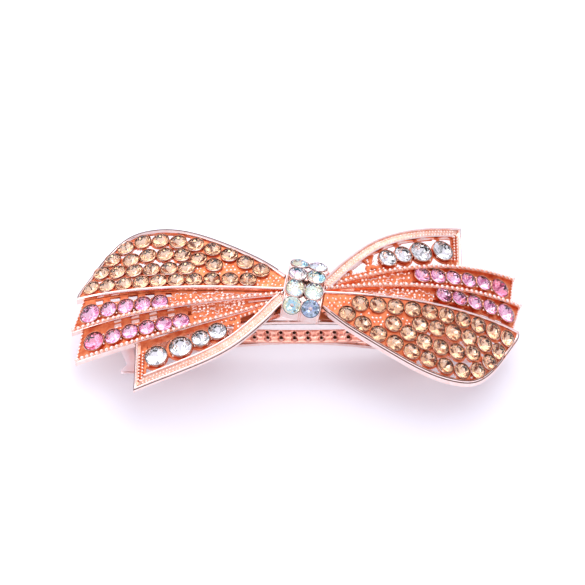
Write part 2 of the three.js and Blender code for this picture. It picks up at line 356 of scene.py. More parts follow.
Gem = tuple[bpy.types.Material, bpy.types.Material]


class Finishes:
    """Every material of the clip."""

    def __init__(self) -> None:
        """Makes the materials."""
        groups = Groups()

        def metal(name: str, light: Colour, deep: Colour, *look: float,
                  **more: float) -> bpy.types.Material:
            """Makes a plated metal: its two tones, then its polish, cloud and ripple."""
            return MetalFinish(name, light, deep, *look, **more).material(groups)

        def gem(glass: GlassFinish, foil: FoilFinish) -> Gem:
            """Makes a stone's glass and the foil behind it."""
            return glass.material(), foil.material(groups)

        # Rim and grain are paler copies of the one rose gold: painted light, standing in for highlights on
        # raised metal.
        self.rim = metal("rim_painted_light", (0.98, 0.81, 0.76), (0.95, 0.69, 0.62), 0.12, 0.1)
        # The bed is a deeper copy of the same rose gold: painted shade, standing in for the dim light in
        # recesses.
        self.bed = metal("bed_painted_shade", (0.82, 0.27, 0.12), (0.64, 0.12, 0.045), 0.26, 0.16, 0.25)
        self.grain = metal("grain_painted_light", (1.0, 0.86, 0.80), (0.96, 0.66, 0.54), 0.12, 0.1)
        self.border = metal("peach_border", (0.95, 0.62, 0.50), (0.87, 0.44, 0.30), 0.2, 0.14, 0.2)
        # The cup is a deeper copy of the same rose gold: painted shade for cups, ledges and the blocks under
        # the bow.
        self.cup = metal("cup_painted_shade", (0.90, 0.48, 0.34), (0.80, 0.30, 0.18), 0.16, 0.1)
        # Near-black metal laid in gaps, grooves and punched points: painted shade.
        self.painted_crevice_shade = metal("crevice_painted_shade", (0.16, 0.07, 0.04), (0.09, 0.04, 0.03), 0.4, 0.2)
        self.sheet = metal("pale_sheet", (0.97, 0.79, 0.74), (0.94, 0.68, 0.61), 0.16, 0.12, 0.1)
        # Saturated orange, partly metallic plate top: painted reflection of the orange wings above it.
        self.field = metal("plate_top_painted_reflection", (1.0, 0.42, 0.20), (0.96, 0.30, 0.12), 0.45, 0.1, metallic=0.3)
        self.tab = metal("pale_catch", (1.0, 0.88, 0.88), (0.98, 0.82, 0.83), 0.4, 0.1)
        self.leaf = metal("spring_leaf", (0.92, 0.55, 0.46), (0.84, 0.38, 0.28), 0.28, 0.16, 0.25)
        self.champagne = gem(GlassFinish("champagne_glass", (1.0, 0.84, 0.73), 1.45),
                             FoilFinish("champagne_foil", (1.0, 0.84, 0.67), (0.26, 0.09, 0.04)))
        self.pink = gem(GlassFinish("pink_glass", (1.0, 0.80, 0.90), 1.45),
                        FoilFinish("pink_foil", (1.0, 0.76, 0.87), (0.66, 0.24, 0.42)))
        self.rose = gem(GlassFinish("rose_glass", (1.0, 0.62, 0.74), 1.45),
                        FoilFinish("rose_foil", (1.0, 0.62, 0.72), (0.55, 0.12, 0.24)))
        self.clear = gem(GlassFinish("clear_glass", (1.0, 1.0, 1.0), 1.45),
                         FoilFinish("silver_foil", (0.98, 0.99, 0.99), (0.42, 0.44, 0.44)))
        self.rainbow = gem(GlassFinish("rainbow_glass", (1.0, 1.0, 1.0), film=420.0),
                           FoilFinish("rainbow_foil", (1.0, 1.0, 1.0), (0.92, 0.94, 1.0), flash=0.7))
        blue = FoilFinish("blue_rainbow_foil", (0.62, 0.72, 0.95), (0.10, 0.20, 0.42), flash=0.35)
        self.blue_rainbow: Gem = (self.rainbow[0], blue.material(groups))


# ---- Mesh work --------------------------------------------------------------------------------------------


def make_piece(name: str, bm: bmesh.types.BMesh, materials: Sequence[bpy.types.Material], body: Body,
               nodes: Sequence[str] = (), flat: bool = False) -> None:
    """Turns a bmesh in millimetres into a finished piece that rides on a body.

    Args:
        name: The piece's name.
        bm: The shape. It is used up.
        materials: The piece's materials.
        body: The body that it rides on.
        nodes: CAD nodes that it stands for.
        flat: True for cut glass, which keeps every face flat.
    """
    bmesh.ops.scale(bm, vec=(MM, MM, MM), verts=bm.verts)
    mesh = bpy.data.meshes.new(name)
    for material in materials:
        mesh.materials.append(material)
    for face in bm.faces:
        face.smooth = not flat
    bm.to_mesh(mesh)
    bm.free()
    if not flat:
        mesh.set_sharp_from_angle(angle=SMOOTH_BELOW)
    piece = bpy.data.objects.new(name, mesh)
    bpy.context.scene.collection.objects.link(piece)
    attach(piece, body.value)
    if nodes:
        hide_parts(*nodes)
    log.info("%s: %d faces", name, len(mesh.polygons))


def make_pair(name: str, bm: bmesh.types.BMesh, materials: Sequence[bpy.types.Material],
              node: str = "", flat: bool = False) -> None:
    """Makes a piece of the right wing and its half-turn copy on the left wing.

    Args:
        name: The piece's name without its side.
        bm: The right wing's shape. It is used up.
        materials: The piece's materials.
        node: The CAD node that it stands for, without its side.
        flat: True for cut glass.
    """
    copy = bm.copy()
    bmesh.ops.transform(copy, matrix=HALF_TURN, verts=copy.verts)
    for side, shape in (("right", bm), ("left", copy)):
        nodes = [f"{side}_{node}"] if node else []
        make_piece(f"{side}_{name}", shape, materials, Body.BOW, nodes, flat)


def sweep(bm: bmesh.types.BMesh, stations: Sequence[Sequence[Vector]], closed: bool = False) -> None:
    """Draws a ring of points through a row of stations, by extruding its cap from each to the next.

    Args:
        bm: The bmesh to add to.
        stations: The ring's points at each station, in the same order and number.
        closed: True if the last station meets the first.
    """
    first = [bm.verts.new(point) for point in stations[0]]
    cap = bm.faces.new(first)
    made = [cap]
    for station in list(stations[1:]) + ([stations[0]] if closed else []):
        cap = bmesh.ops.extrude_discrete_faces(bm, faces=[cap])["faces"][0]
        made.append(cap)
        for vert, point in zip(cap.verts, station):
            vert.co = point
    ring = list(cap.verts)
    if closed:
        bmesh.ops.delete(bm, geom=[cap], context="FACES_ONLY")
        bmesh.ops.remove_doubles(bm, verts=first + ring, dist=1e-4)
    else:
        bm.faces.new(list(reversed(first)))


def outwards(bm: bmesh.types.BMesh) -> bmesh.types.BMesh:
    """Merges doubles and turns every face outwards.

    Args:
        bm: The shape.

    Returns:
        The same shape.
    """
    bmesh.ops.remove_doubles(bm, verts=bm.verts, dist=1e-4)
    bmesh.ops.recalc_face_normals(bm, faces=bm.faces)
    return bm


def thicken(bm: bmesh.types.BMesh, thickness: float) -> bmesh.types.BMesh:
    """Gives a surface thickness: straight down, or the way its "under" layer says.

    Args:
        bm: The surface.
        thickness: How thick it becomes.

    Returns:
        The same shape, closed.
    """
    under = bm.verts.layers.float_vector.get("under")
    made = bmesh.ops.extrude_face_region(bm, geom=bm.faces[:], use_keep_orig=True)["geom"]
    for vert in [v for v in made if isinstance(v, bmesh.types.BMVert)]:
        vert.co += (vert[under] if under else Vector((0, 0, -1))) * thickness
    return outwards(bm)


def stamp(bm: bmesh.types.BMesh, template: bpy.types.Mesh, place: Matrix) -> None:
    """Adds a copy of a template mesh.

    Args:
        bm: The bmesh to add to.
        template: The mesh that is copied.
        place: Where the copy goes.
    """
    count = len(bm.verts)
    bm.from_mesh(template)
    bm.verts.ensure_lookup_table()
    bmesh.ops.transform(bm, matrix=place, verts=bm.verts[count:])


def as_template(name: str, bm: bmesh.types.BMesh) -> bpy.types.Mesh:
    """Keeps a shape as a mesh that can be stamped.

    Args:
        name: The mesh's name.
        bm: The shape that is worked on.

    Returns:
        The mesh.
    """
    mesh = bpy.data.meshes.new(name)
    bm.to_mesh(mesh)
    bm.free()
    return mesh


def upright(axis: Vector, turn: float = 0.0) -> Matrix:
    """A rotation that takes +Z to an axis, after a turn about +Z."""
    return axis.to_track_quat("Z", "Y").to_matrix().to_4x4() @ Matrix.Rotation(turn, 4, "Z")


def node_box(node: str) -> tuple[Vector, Vector]:
    """The low and the high corner of a CAD node, in millimetres."""
    low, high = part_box(node)
    return low / MM, high / MM


def break_corners(bm: bmesh.types.BMesh, angle: float, size: float) -> None:
    """Bevels every edge that is sharper than an angle, with a bevel of some size."""
    sharp = [e for e in bm.edges if len(e.link_faces) == 2 and e.calc_face_angle() > angle]
    bmesh.ops.bevel(bm, geom=sharp, offset=size, affect="EDGES", segments=2, profile=0.5, material=-1)


def draw_out(bm: bmesh.types.BMesh, outline: Sequence[Point2], y: float, depth: float) -> None:
    """Adds an outline of x and z, drawn out along Y.

    Args:
        bm: The shape that is worked on.
        outline: The outline's points.
        y: Where it starts.
        depth: How far it is drawn out.
    """
    face = bm.faces.new([bm.verts.new((x, y, z)) for x, z in outline])
    made = bmesh.ops.extrude_face_region(bm, geom=[face])["geom"]
    bmesh.ops.translate(bm, vec=(0, depth, 0), verts=[v for v in made if isinstance(v, bmesh.types.BMVert)])


@dataclass
class Line:
    """A smooth line through a few points, seen from above."""

    points: Sequence[Point2]
    samples: int = 24

    def __post_init__(self) -> None:
        """Samples the line finely, for even spacing."""
        ends = [self._beyond(0, 1), *[Vector(p) for p in self.points], self._beyond(-1, -2)]
        self.fine: list[Vector] = []
        for a, b, c, d in zip(ends, ends[1:], ends[2:], ends[3:]):
            for k in range(self.samples):
                t = k / self.samples
                self.fine.append(0.5 * (2 * b + (c - a) * t + (2 * a - 5 * b + 4 * c - d) * t * t
                                        + (3 * b - a - 3 * c + d) * t ** 3))
        self.fine.append(Vector(self.points[-1]))

    def _beyond(self, end: int, inner: int) -> Vector:
        """The point that an end and its neighbour point at."""
        return 2 * Vector(self.points[end]) - Vector(self.points[inner])

    def even(self, count: int, height: Callable[[float, float], float] | None = None) -> list[Vector]:
        """Points at even spacing along the line.

        Args:
            count: How many points.
            height: The surface that the spacing is measured on, or None for the plan.

        Returns:
            The points, seen from above.
        """
        solid = [Vector((p.x, p.y, height(p.x, p.y) if height else 0.0)) for p in self.fine]
        lengths = [0.0]
        for a, b in zip(solid, solid[1:]):
            lengths.append(lengths[-1] + (b - a).length)
        result = []
        k = 0
        for n in range(count):
            want = lengths[-1] * n / max(1, count - 1)
            while k < len(lengths) - 2 and lengths[k + 1] < want:
                k += 1
            share = (want - lengths[k]) / max(1e-9, lengths[k + 1] - lengths[k])
            result.append(self.fine[k].lerp(self.fine[k + 1], min(1.0, share)))
        return result


# ---- Stones -----------------------------------------------------------------------------------------------


@dataclass
class Cut:
    """How a round stone of radius 1 is cut: the slopes of its facets, in degrees, and its table's height."""

    table_height: float = 0.34
    main_slope: float = 34.0
    half_slope: float = 40.0
    star_slope: float = 20.0
    back_main_slope: float = 38.0
    back_half_slope: float = 41.0
    girdle: float = 0.05
    sides: int = 32
    seed: int = 7

    def build(self, name: str) -> bpy.types.Mesh:
        """Cuts the facets from a cylinder, one plane at a time.

        Args:
            name: The mesh's name.

        Returns:
            A stone with its girdle at the origin, glass in front (material 0) and foil behind (1).
        """
        bm = bmesh.new()
        bmesh.ops.create_cone(bm, cap_ends=True, segments=self.sides, radius1=1.0, radius2=1.0, depth=3.0)
        self._slice(bm, Vector((0, 0, self.table_height)), Vector((0, 0, 1)))
        eighth = math.tau / 8
        girdle_inset = math.cos(eighth / 4)
        middle = self._middle_point()
        for k in range(8):
            self._slope_cut(bm, eighth * k, self.main_slope, 1.0, self.girdle / 2)
            self._slope_cut(bm, eighth * (k + 0.5), self.star_slope, *middle)
            self._slope_cut(bm, eighth * k, -self.back_main_slope, 1.0, -self.girdle / 2)
            for side in (-0.25, 0.25):
                azimuth = eighth * (k + side)
                self._slope_cut(bm, azimuth, self.half_slope, girdle_inset, self.girdle / 2)
                self._slope_cut(bm, azimuth, -self.back_half_slope, girdle_inset, -self.girdle / 2)
        outwards(bm)
        # Some foil facets are painted dark at random: painted reflection of dark surroundings.
        tone = bm.faces.layers.float.new("facet_painted_reflection")
        rng = random.Random(self.seed)
        for face in bm.faces:
            behind = face.normal.z < -0.2
            face.material_index = 1 if behind else 0
            face[tone] = rng.choice((0.0, 0.0, 0.05, 0.15, 1.0)) if behind else 0.0
        return as_template(name, bm)

    def _middle_point(self) -> tuple[float, float]:
        """Where two main facets and two half facets meet, as radius and height over the girdle's middle.

        Returns:
            The point's radius and height.
        """
        corner = math.cos(math.tau / 16)
        inset = math.cos(math.tau / 32)
        main, half = (1 / math.tan(math.radians(a)) for a in (self.main_slope, self.half_slope))
        height = (1 / corner - 1) / (main / corner - half / inset)
        return 1 - half * height / inset, height + self.girdle / 2

    def _slope_cut(self, bm: bmesh.types.BMesh, azimuth: float, slope: float, radius: float,
                   height: float) -> None:
        """Cuts one facet through a point, facing an azimuth.

        Args:
            bm: The stone.
            azimuth: The way that the facet faces.
            slope: The facet's slope in degrees; a negative one faces down.
            radius: A point's distance from the axis.
            height: That point's height.
        """
        angle = math.radians(abs(slope))
        up = math.copysign(math.cos(angle), slope)
        normal = Vector((math.sin(angle) * math.cos(azimuth), math.sin(angle) * math.sin(azimuth), up))
        self._slice(bm, Vector((radius * math.cos(azimuth), radius * math.sin(azimuth), height)), normal)

    @staticmethod
    def _slice(bm: bmesh.types.BMesh, point: Vector, normal: Vector) -> None:
        """Cuts away what is beyond a plane, and closes the cut.

        Args:
            bm: The stone.
            point: A point of the plane.
            normal: The plane's normal.
        """
        geometry = bm.verts[:] + bm.edges[:] + bm.faces[:]
        cut = bmesh.ops.bisect_plane(bm, geom=geometry, dist=1e-5, plane_co=point, plane_no=normal,
                                     clear_outer=True)
        edges = [e for e in cut["geom_cut"] if isinstance(e, bmesh.types.BMEdge) and e.is_valid]
        open_edges = [e for e in edges if len(e.link_faces) < 2]
        if len(open_edges) >= 3:
            bmesh.ops.contextual_create(bm, geom=open_edges)


@dataclass
class Setting:
    """A stone's cup: a turned ring that holds it."""

    wall: float = 0.14
    play: float = 0.11
    depth: float = 0.95
    steps: int = 24

    def build(self, name: str, radius: float) -> bpy.types.Mesh:
        """Turns a cup for a stone of some radius, with the stone's girdle at the origin.

        Args:
            name: The mesh's name.
            radius: The stone's radius in millimetres.

        Returns:
            The cup.
        """
        inner = radius + self.play
        outer = inner + self.wall
        foot = inner * 0.62
        profile = [(inner, -0.05), (inner, 0.02), (inner + self.wall * 0.5, 0.1), (outer, 0.02),
                   (outer, -0.18), (outer, -0.35), (foot + self.wall, -self.depth), (foot, -self.depth),
                   (inner - 0.12, -0.3)]
        bm = turned(profile, self.steps, closed=True)
        # The inner wall and the band under the outer edge take material 1: painted shade for the gap round
        # the stone.
        for face in bm.faces:
            centre = face.calc_center_median()
            inside = centre.z < 0.03 and centre.xy.dot(face.normal.xy) < 0
            under_edge = -0.17 < centre.z < 0.01 and abs(face.normal.z) < 0.1
            face.material_index = 1 if inside or under_edge else 0
        return as_template(name, bm)


def grain_template(name: str, segments: int = 8, rings: int = 5) -> bpy.types.Mesh:
    """A small cast bead of radius 1.

    Args:
        name: The mesh's name.
        segments: Faces round it.
        rings: Faces from pole to pole.

    Returns:
        The bead.
    """
    bm = bmesh.new()
    bmesh.ops.create_uvsphere(bm, u_segments=segments, v_segments=rings, radius=1.0)
    return as_template(name, bm)


def scallop_template(name: str, radius: float = 0.42, wire: float = 0.13) -> bpy.types.Mesh:
    """A little half ring of wire that lies flat, open towards -Y.

    Args:
        name: The mesh's name.
        radius: The radius in millimetres.
        wire: The wire's radius.

    Returns:
        The half ring.
    """
    bm = bmesh.new()
    bmesh.ops.create_circle(bm, cap_ends=True, segments=6, radius=wire)
    bmesh.ops.rotate(bm, cent=(0, 0, 0), matrix=Matrix.Rotation(math.pi / 2, 3, "X"), verts=bm.verts)
    bmesh.ops.translate(bm, vec=(radius, 0, 0), verts=bm.verts)
    bmesh.ops.spin(bm, geom=bm.faces[:], cent=(0, 0, 0), axis=(0, 0, 1), angle=math.pi, steps=7,
                   use_duplicate=False)
    bmesh.ops.recalc_face_normals(bm, faces=bm.faces)
    return as_template(name, bm)


# ---- The wing's lines and surfaces ------------------------------------------------------------------------

Height = Callable[[float, float], float]


@dataclass
class WingShape:
    """The lines and surfaces of the right wing. Heights are of the stones' tables."""

    bow_level: float
    loop_rim: Line = field(default_factory=lambda: Line(
        [(3.6, -4.2), (9, -8.8), (18, -14.6), (25, -18.1), (31, -19.4), (36.3, -18.6), (41, -14.7),
         (46.7, -6.9)]))
    tail_rim: Line = field(default_factory=lambda: Line(
        [(3.8, 2.3), (5.5, 3.9), (9, 7.6), (15, 12.8), (21, 16.2), (28.5, 18.8), (36.9, 20.9)]))

    @staticmethod
    def ridge_y(x: float) -> float:
        """The fold that all the ribbons start from."""
        return -0.3 - 0.032 * x - 0.00112 * x * x

    @staticmethod
    def inner_bead_y(x: float) -> float:
        """The beaded edge of the inner streamer."""
        return 0.1 + 0.125 * x - 0.00125 * x * x

    @staticmethod
    def outer_bead_y(x: float) -> float:
        """The beaded edge of the outer streamer."""
        return -0.4 + 0.419 * x - 0.00397 * x * x

    def ridge_z(self, x: float, _y: float = 0.0) -> float:
        """The fold arches down towards the ribbon ends."""
        return self.bow_level + 0.05 - 9e-5 * x ** 3

    def loop_z(self, x: float, y: float) -> float:
        """The loop falls away from the fold, like a shallow dish."""
        distance = max(0.0, self.ridge_y(x) - y)
        return self.ridge_z(x) - (0.4 + 0.022 * x) * (0.19 * distance - 0.002 * distance * distance)

    def inner_streamer_z(self, x: float, _y: float = 0.0) -> float:
        """The inner streamer's stones."""
        return self.ridge_z(x) - 0.5

    def outer_streamer_z(self, x: float, _y: float = 0.0) -> float:
        """The outer streamer's stones."""
        return self.ridge_z(x) - 1.2

    def tail_z(self, x: float, _y: float = 0.0) -> float:
        """The tail's stones."""
        return self.ridge_z(x) - 0.15 - 0.06 * (x - 6)


def surface_point(height: Height, x: float, y: float, drop: float = 0.0) -> Vector:
    """A point at some depth under a surface."""
    return Vector((x, y, height(x, y) - drop))


def surface_normal(height: Height, x: float, y: float) -> Vector:
    """The upward normal of a surface.

    Args:
        height: The surface that heights are measured from.
        x: The place's x.
        y: The place's y.

    Returns:
        The normal.
    """
    step = 0.4
    slope_x = (height(x + step, y) - height(x - step, y)) / (2 * step)
    slope_y = (height(x, y + step) - height(x, y - step)) / (2 * step)
    return Vector((-slope_x, -slope_y, 1)).normalized()


@dataclass
class Panel:
    """A ribbon's bed: a thin arched panel between two edges, pierced by windows."""

    low: Sequence[Vector]
    high: Sequence[Vector]
    height: Height
    drop: float = 0.8
    thickness: float = 0.7
    rows: int = 24
    holes: Sequence[tuple[Vector, float]] = ()
    open_at: Callable[[Vector, float], bool] | None = None
    rings: Sequence[tuple[Vector, float]] = ()

    def build(self) -> bmesh.types.BMesh:
        """Makes the pierced panel.

        Returns:
            The panel, walls of the windows included.
        """
        columns = len(self.low) - 1
        bm = bmesh.new()
        bmesh.ops.create_grid(bm, x_segments=columns, y_segments=self.rows, size=0.5)
        shares = {}
        for vert in bm.verts:
            t, v = vert.co.x + 0.5, vert.co.y + 0.5
            low, high = self.low[round(t * columns)], self.high[round(t * columns)]
            place = low.lerp(high, v)
            shares[vert] = v
            vert.co = surface_point(self.height, place.x, place.y, self.drop)
        pierced = [f for f in bm.faces if self._is_open(f, shares)]
        bmesh.ops.delete(bm, geom=pierced, context="FACES")
        self._smooth_outlines(bm)
        return thicken(bm, self.thickness)

    def _is_open(self, face: bmesh.types.BMFace, shares: dict) -> bool:
        """True if a face's middle is in a hole or a window.

        Args:
            face: The face.
            shares: How far across each vertex is.

        Returns:
            Whether the face is cut out.
        """
        centre = face.calc_center_median().xy
        share = sum(shares[v] for v in face.verts) / len(face.verts)
        if any((centre - spot).length < radius for spot, radius in self.holes):
            return True
        return bool(self.open_at and self.open_at(centre, share))

    def _smooth_outlines(self, bm: bmesh.types.BMesh) -> None:
        """Moves the outlines of holes and of the metal round each stone onto their circles.

        Args:
            bm: The shape that is worked on.
        """
        circles = list(self.holes) + list(self.rings)
        for vert in [v for v in bm.verts if v.is_boundary]:
            for spot, radius in circles:
                away = vert.co.xy - spot
                if away.length > 0 and abs(away.length - radius) < 0.26:
                    edge = spot + away.normalized() * radius
                    vert.co = surface_point(self.height, edge.x, edge.y, self.drop)
                    break


def edge_strip(bm: bmesh.types.BMesh, path: Sequence[Vector], height: Height, side: float,
               profile: Sequence[Point2], finish: int = 0) -> None:
    """Sweeps a wall's section along an edge seen from above.

    Args:
        bm: The bmesh to add to.
        path: Points of the edge.
        height: The surface that the wall's heights are measured from.
        side: 1 if the outside is on the left of the path, -1 if it is on the right.
        profile: The section, as distance outwards and height over the surface.
        finish: Which of the piece's materials it has.
    """
    count = len(bm.faces)
    stations = []
    for k, point in enumerate(path):
        before = path[k] - path[k - 1] if k else path[1] - path[0]
        after = path[k + 1] - path[k] if k < len(path) - 1 else before
        square = [Vector((-d.y, d.x)).normalized() * side for d in (before, after)]
        outward = (square[0] + square[1]) / (1 + square[0].dot(square[1]))
        level = height(point.x, point.y)
        stations.append([Vector((point.x + outward.x * d, point.y + outward.y * d, level + z)) for d,
                         z in profile])
    sweep(bm, stations)
    strip = bm.faces[count:]
    bmesh.ops.recalc_face_normals(bm, faces=strip)
    for face in strip:
        face.material_index = finish


RIM_SECTION = [(0.12, -1.9), (0.1, -0.62), (0.0, -0.54), (-0.02, -0.3), (-0.1, -0.02), (-0.24, 0.08),
               (-0.5, 0.0),
               (-0.76, -0.24), (-0.84, -0.7), (-0.7, -1.2), (-0.2, -1.9)]
# Thin strips that carry painted shade: a dark line under the rim's edge and one inside it along the crease.
GROOVE_SECTION = [(0.07, -0.6), (0.07, -0.36), (-0.1, -0.36), (-0.1, -0.6)]
CREASE_SECTION = [(-0.1, 0.0), (-0.1, 0.09), (-0.24, 0.13), (-0.3, 0.09), (-0.3, 0.0)]
FOLD_SECTION = [(0.3, -2.1), (0.34, -0.45), (0.26, -0.16), (0.08, -0.02), (-0.1, -0.04), (-0.24, -0.2),
                (-0.3, -0.5), (-0.3, -1.4), (-0.1, -2.1)]
LEDGE_SECTION = [(0.3, -2.0), (0.3, -0.5), (0.2, -0.36), (-0.3, -0.36), (-0.42, -0.5), (-0.42, -1.5),
                 (-0.1, -2.0)]
WALL_SECTION = [(0.3, -0.55), (0.42, -0.62), (0.46, -0.9), (0.46, -2.1), (0.36, -2.2), (0.2, -2.1),
                (0.2, -0.8)]


def distance_to_line(place: Vector, a: Vector, b: Vector) -> float:
    """How far a place is from the straight line between two points.

    Args:
        place: A place, seen from above.
        a: One end.
        b: The other end.

    Returns:
        The distance.
    """
    along = b - a
    share = max(0.0, min(1.0, (place - a).dot(along) / along.length_squared))
    return (place - a - along * share).length


@dataclass
class StoneRow:
    """A row of stones that share a line and a size."""

    name: str
    line: Line
    count: int
    radius: float = 1.71


STONE_OVER_NODE = 1.03  # the stones are cut this much wider than their CAD solids


@dataclass
class Jeweller:
    """Sets stones: keeps the cut stone and the cups, and places them square to a surface."""

    stone: bpy.types.Mesh
    grain: bpy.types.Mesh
    scallop: bpy.types.Mesh
    setting: Setting = field(default_factory=Setting)
    cups: dict[float, bpy.types.Mesh] = field(default_factory=dict)
    seed: int = 3
    sway: float = 0.05
    sink: float = 0.1

    def __post_init__(self) -> None:
        """Starts the random turns."""
        self.rng = random.Random(self.seed)

    def cup(self, radius: float) -> bpy.types.Mesh:
        """The cup for a stone's radius, made once.

        Args:
            radius: The radius in millimetres.

        Returns:
            The cup.
        """
        if radius not in self.cups:
            self.cups[radius] = self.setting.build(f"cup_{len(self.cups)}", radius)
        return self.cups[radius]

    def set_stone(self, stones: bmesh.types.BMesh, cups: bmesh.types.BMesh, table: Vector, normal: Vector,
                  radius: float) -> None:
        """Sets one stone and its cup.

        Args:
            stones: Where the stone is added.
            cups: Where the cup is added.
            table: The point of the surface that the stone sits in.
            normal: The stone's axis.
            radius: The stone's radius.
        """
        girdle = table - normal * self.sink * radius
        sway = Vector((self.rng.uniform(-1, 1), self.rng.uniform(-1, 1), 0)) * self.sway
        stone_axis = (normal + sway).normalized()
        turn = self.rng.uniform(0, math.tau)
        stamp(stones, self.stone, Matrix.Translation(girdle) @ upright(stone_axis,
                    turn) @ Matrix.Scale(radius, 4))
        stamp(cups, self.cup(radius), Matrix.Translation(girdle) @ upright(normal))

    def set_over_node(self, stones: bmesh.types.BMesh, cups: bmesh.types.BMesh, node: str, height: Height,
                      lift: float) -> tuple[Vector, float]:
        """Sets a stone in the place of a stone node of the right wing.

        Args:
            stones: Where the stone is added.
            cups: Where the cup is added.
            node: The CAD node, without its side.
            height: The surface that the stone sits in.
            lift: How far the stone stands over the surface.

        Returns:
            Where the stone is, seen from above, and its radius.
        """
        low, high = node_box(f"right_{node}")
        centre = (low + high) / 2
        radius = (high.y - low.y) / 2 * STONE_OVER_NODE
        normal = surface_normal(height, centre.x, centre.y)
        table = surface_point(height, centre.x, centre.y) + normal * lift
        self.set_stone(stones, cups, table, normal, round(radius, 2))
        return centre.xy, radius

    def add_grain(self, bm: bmesh.types.BMesh, place: Vector, radius: float) -> None:
        """Adds one cast bead."""
        stamp(bm, self.grain, Matrix.Translation(place) @ Matrix.Scale(radius, 4))


def along_x(yat: Callable[[float], float], low: float, high: float, count: int,
            offset: float = 0.0) -> list[Vector]:
    """Points on a line that is a function of x.

    Args:
        yat: The line's y at an x.
        low: Where it starts.
        high: Where it ends.
        count: How many points.
        offset: Added to y.

    Returns:
        The points, seen from above.
    """
    steps = [low + (high - low) * k / (count - 1) for k in range(count)]
    return [Vector((x, yat(x) + offset)) for x in steps]


# ---- Loops ------------------------------------------------------------------------------------------------


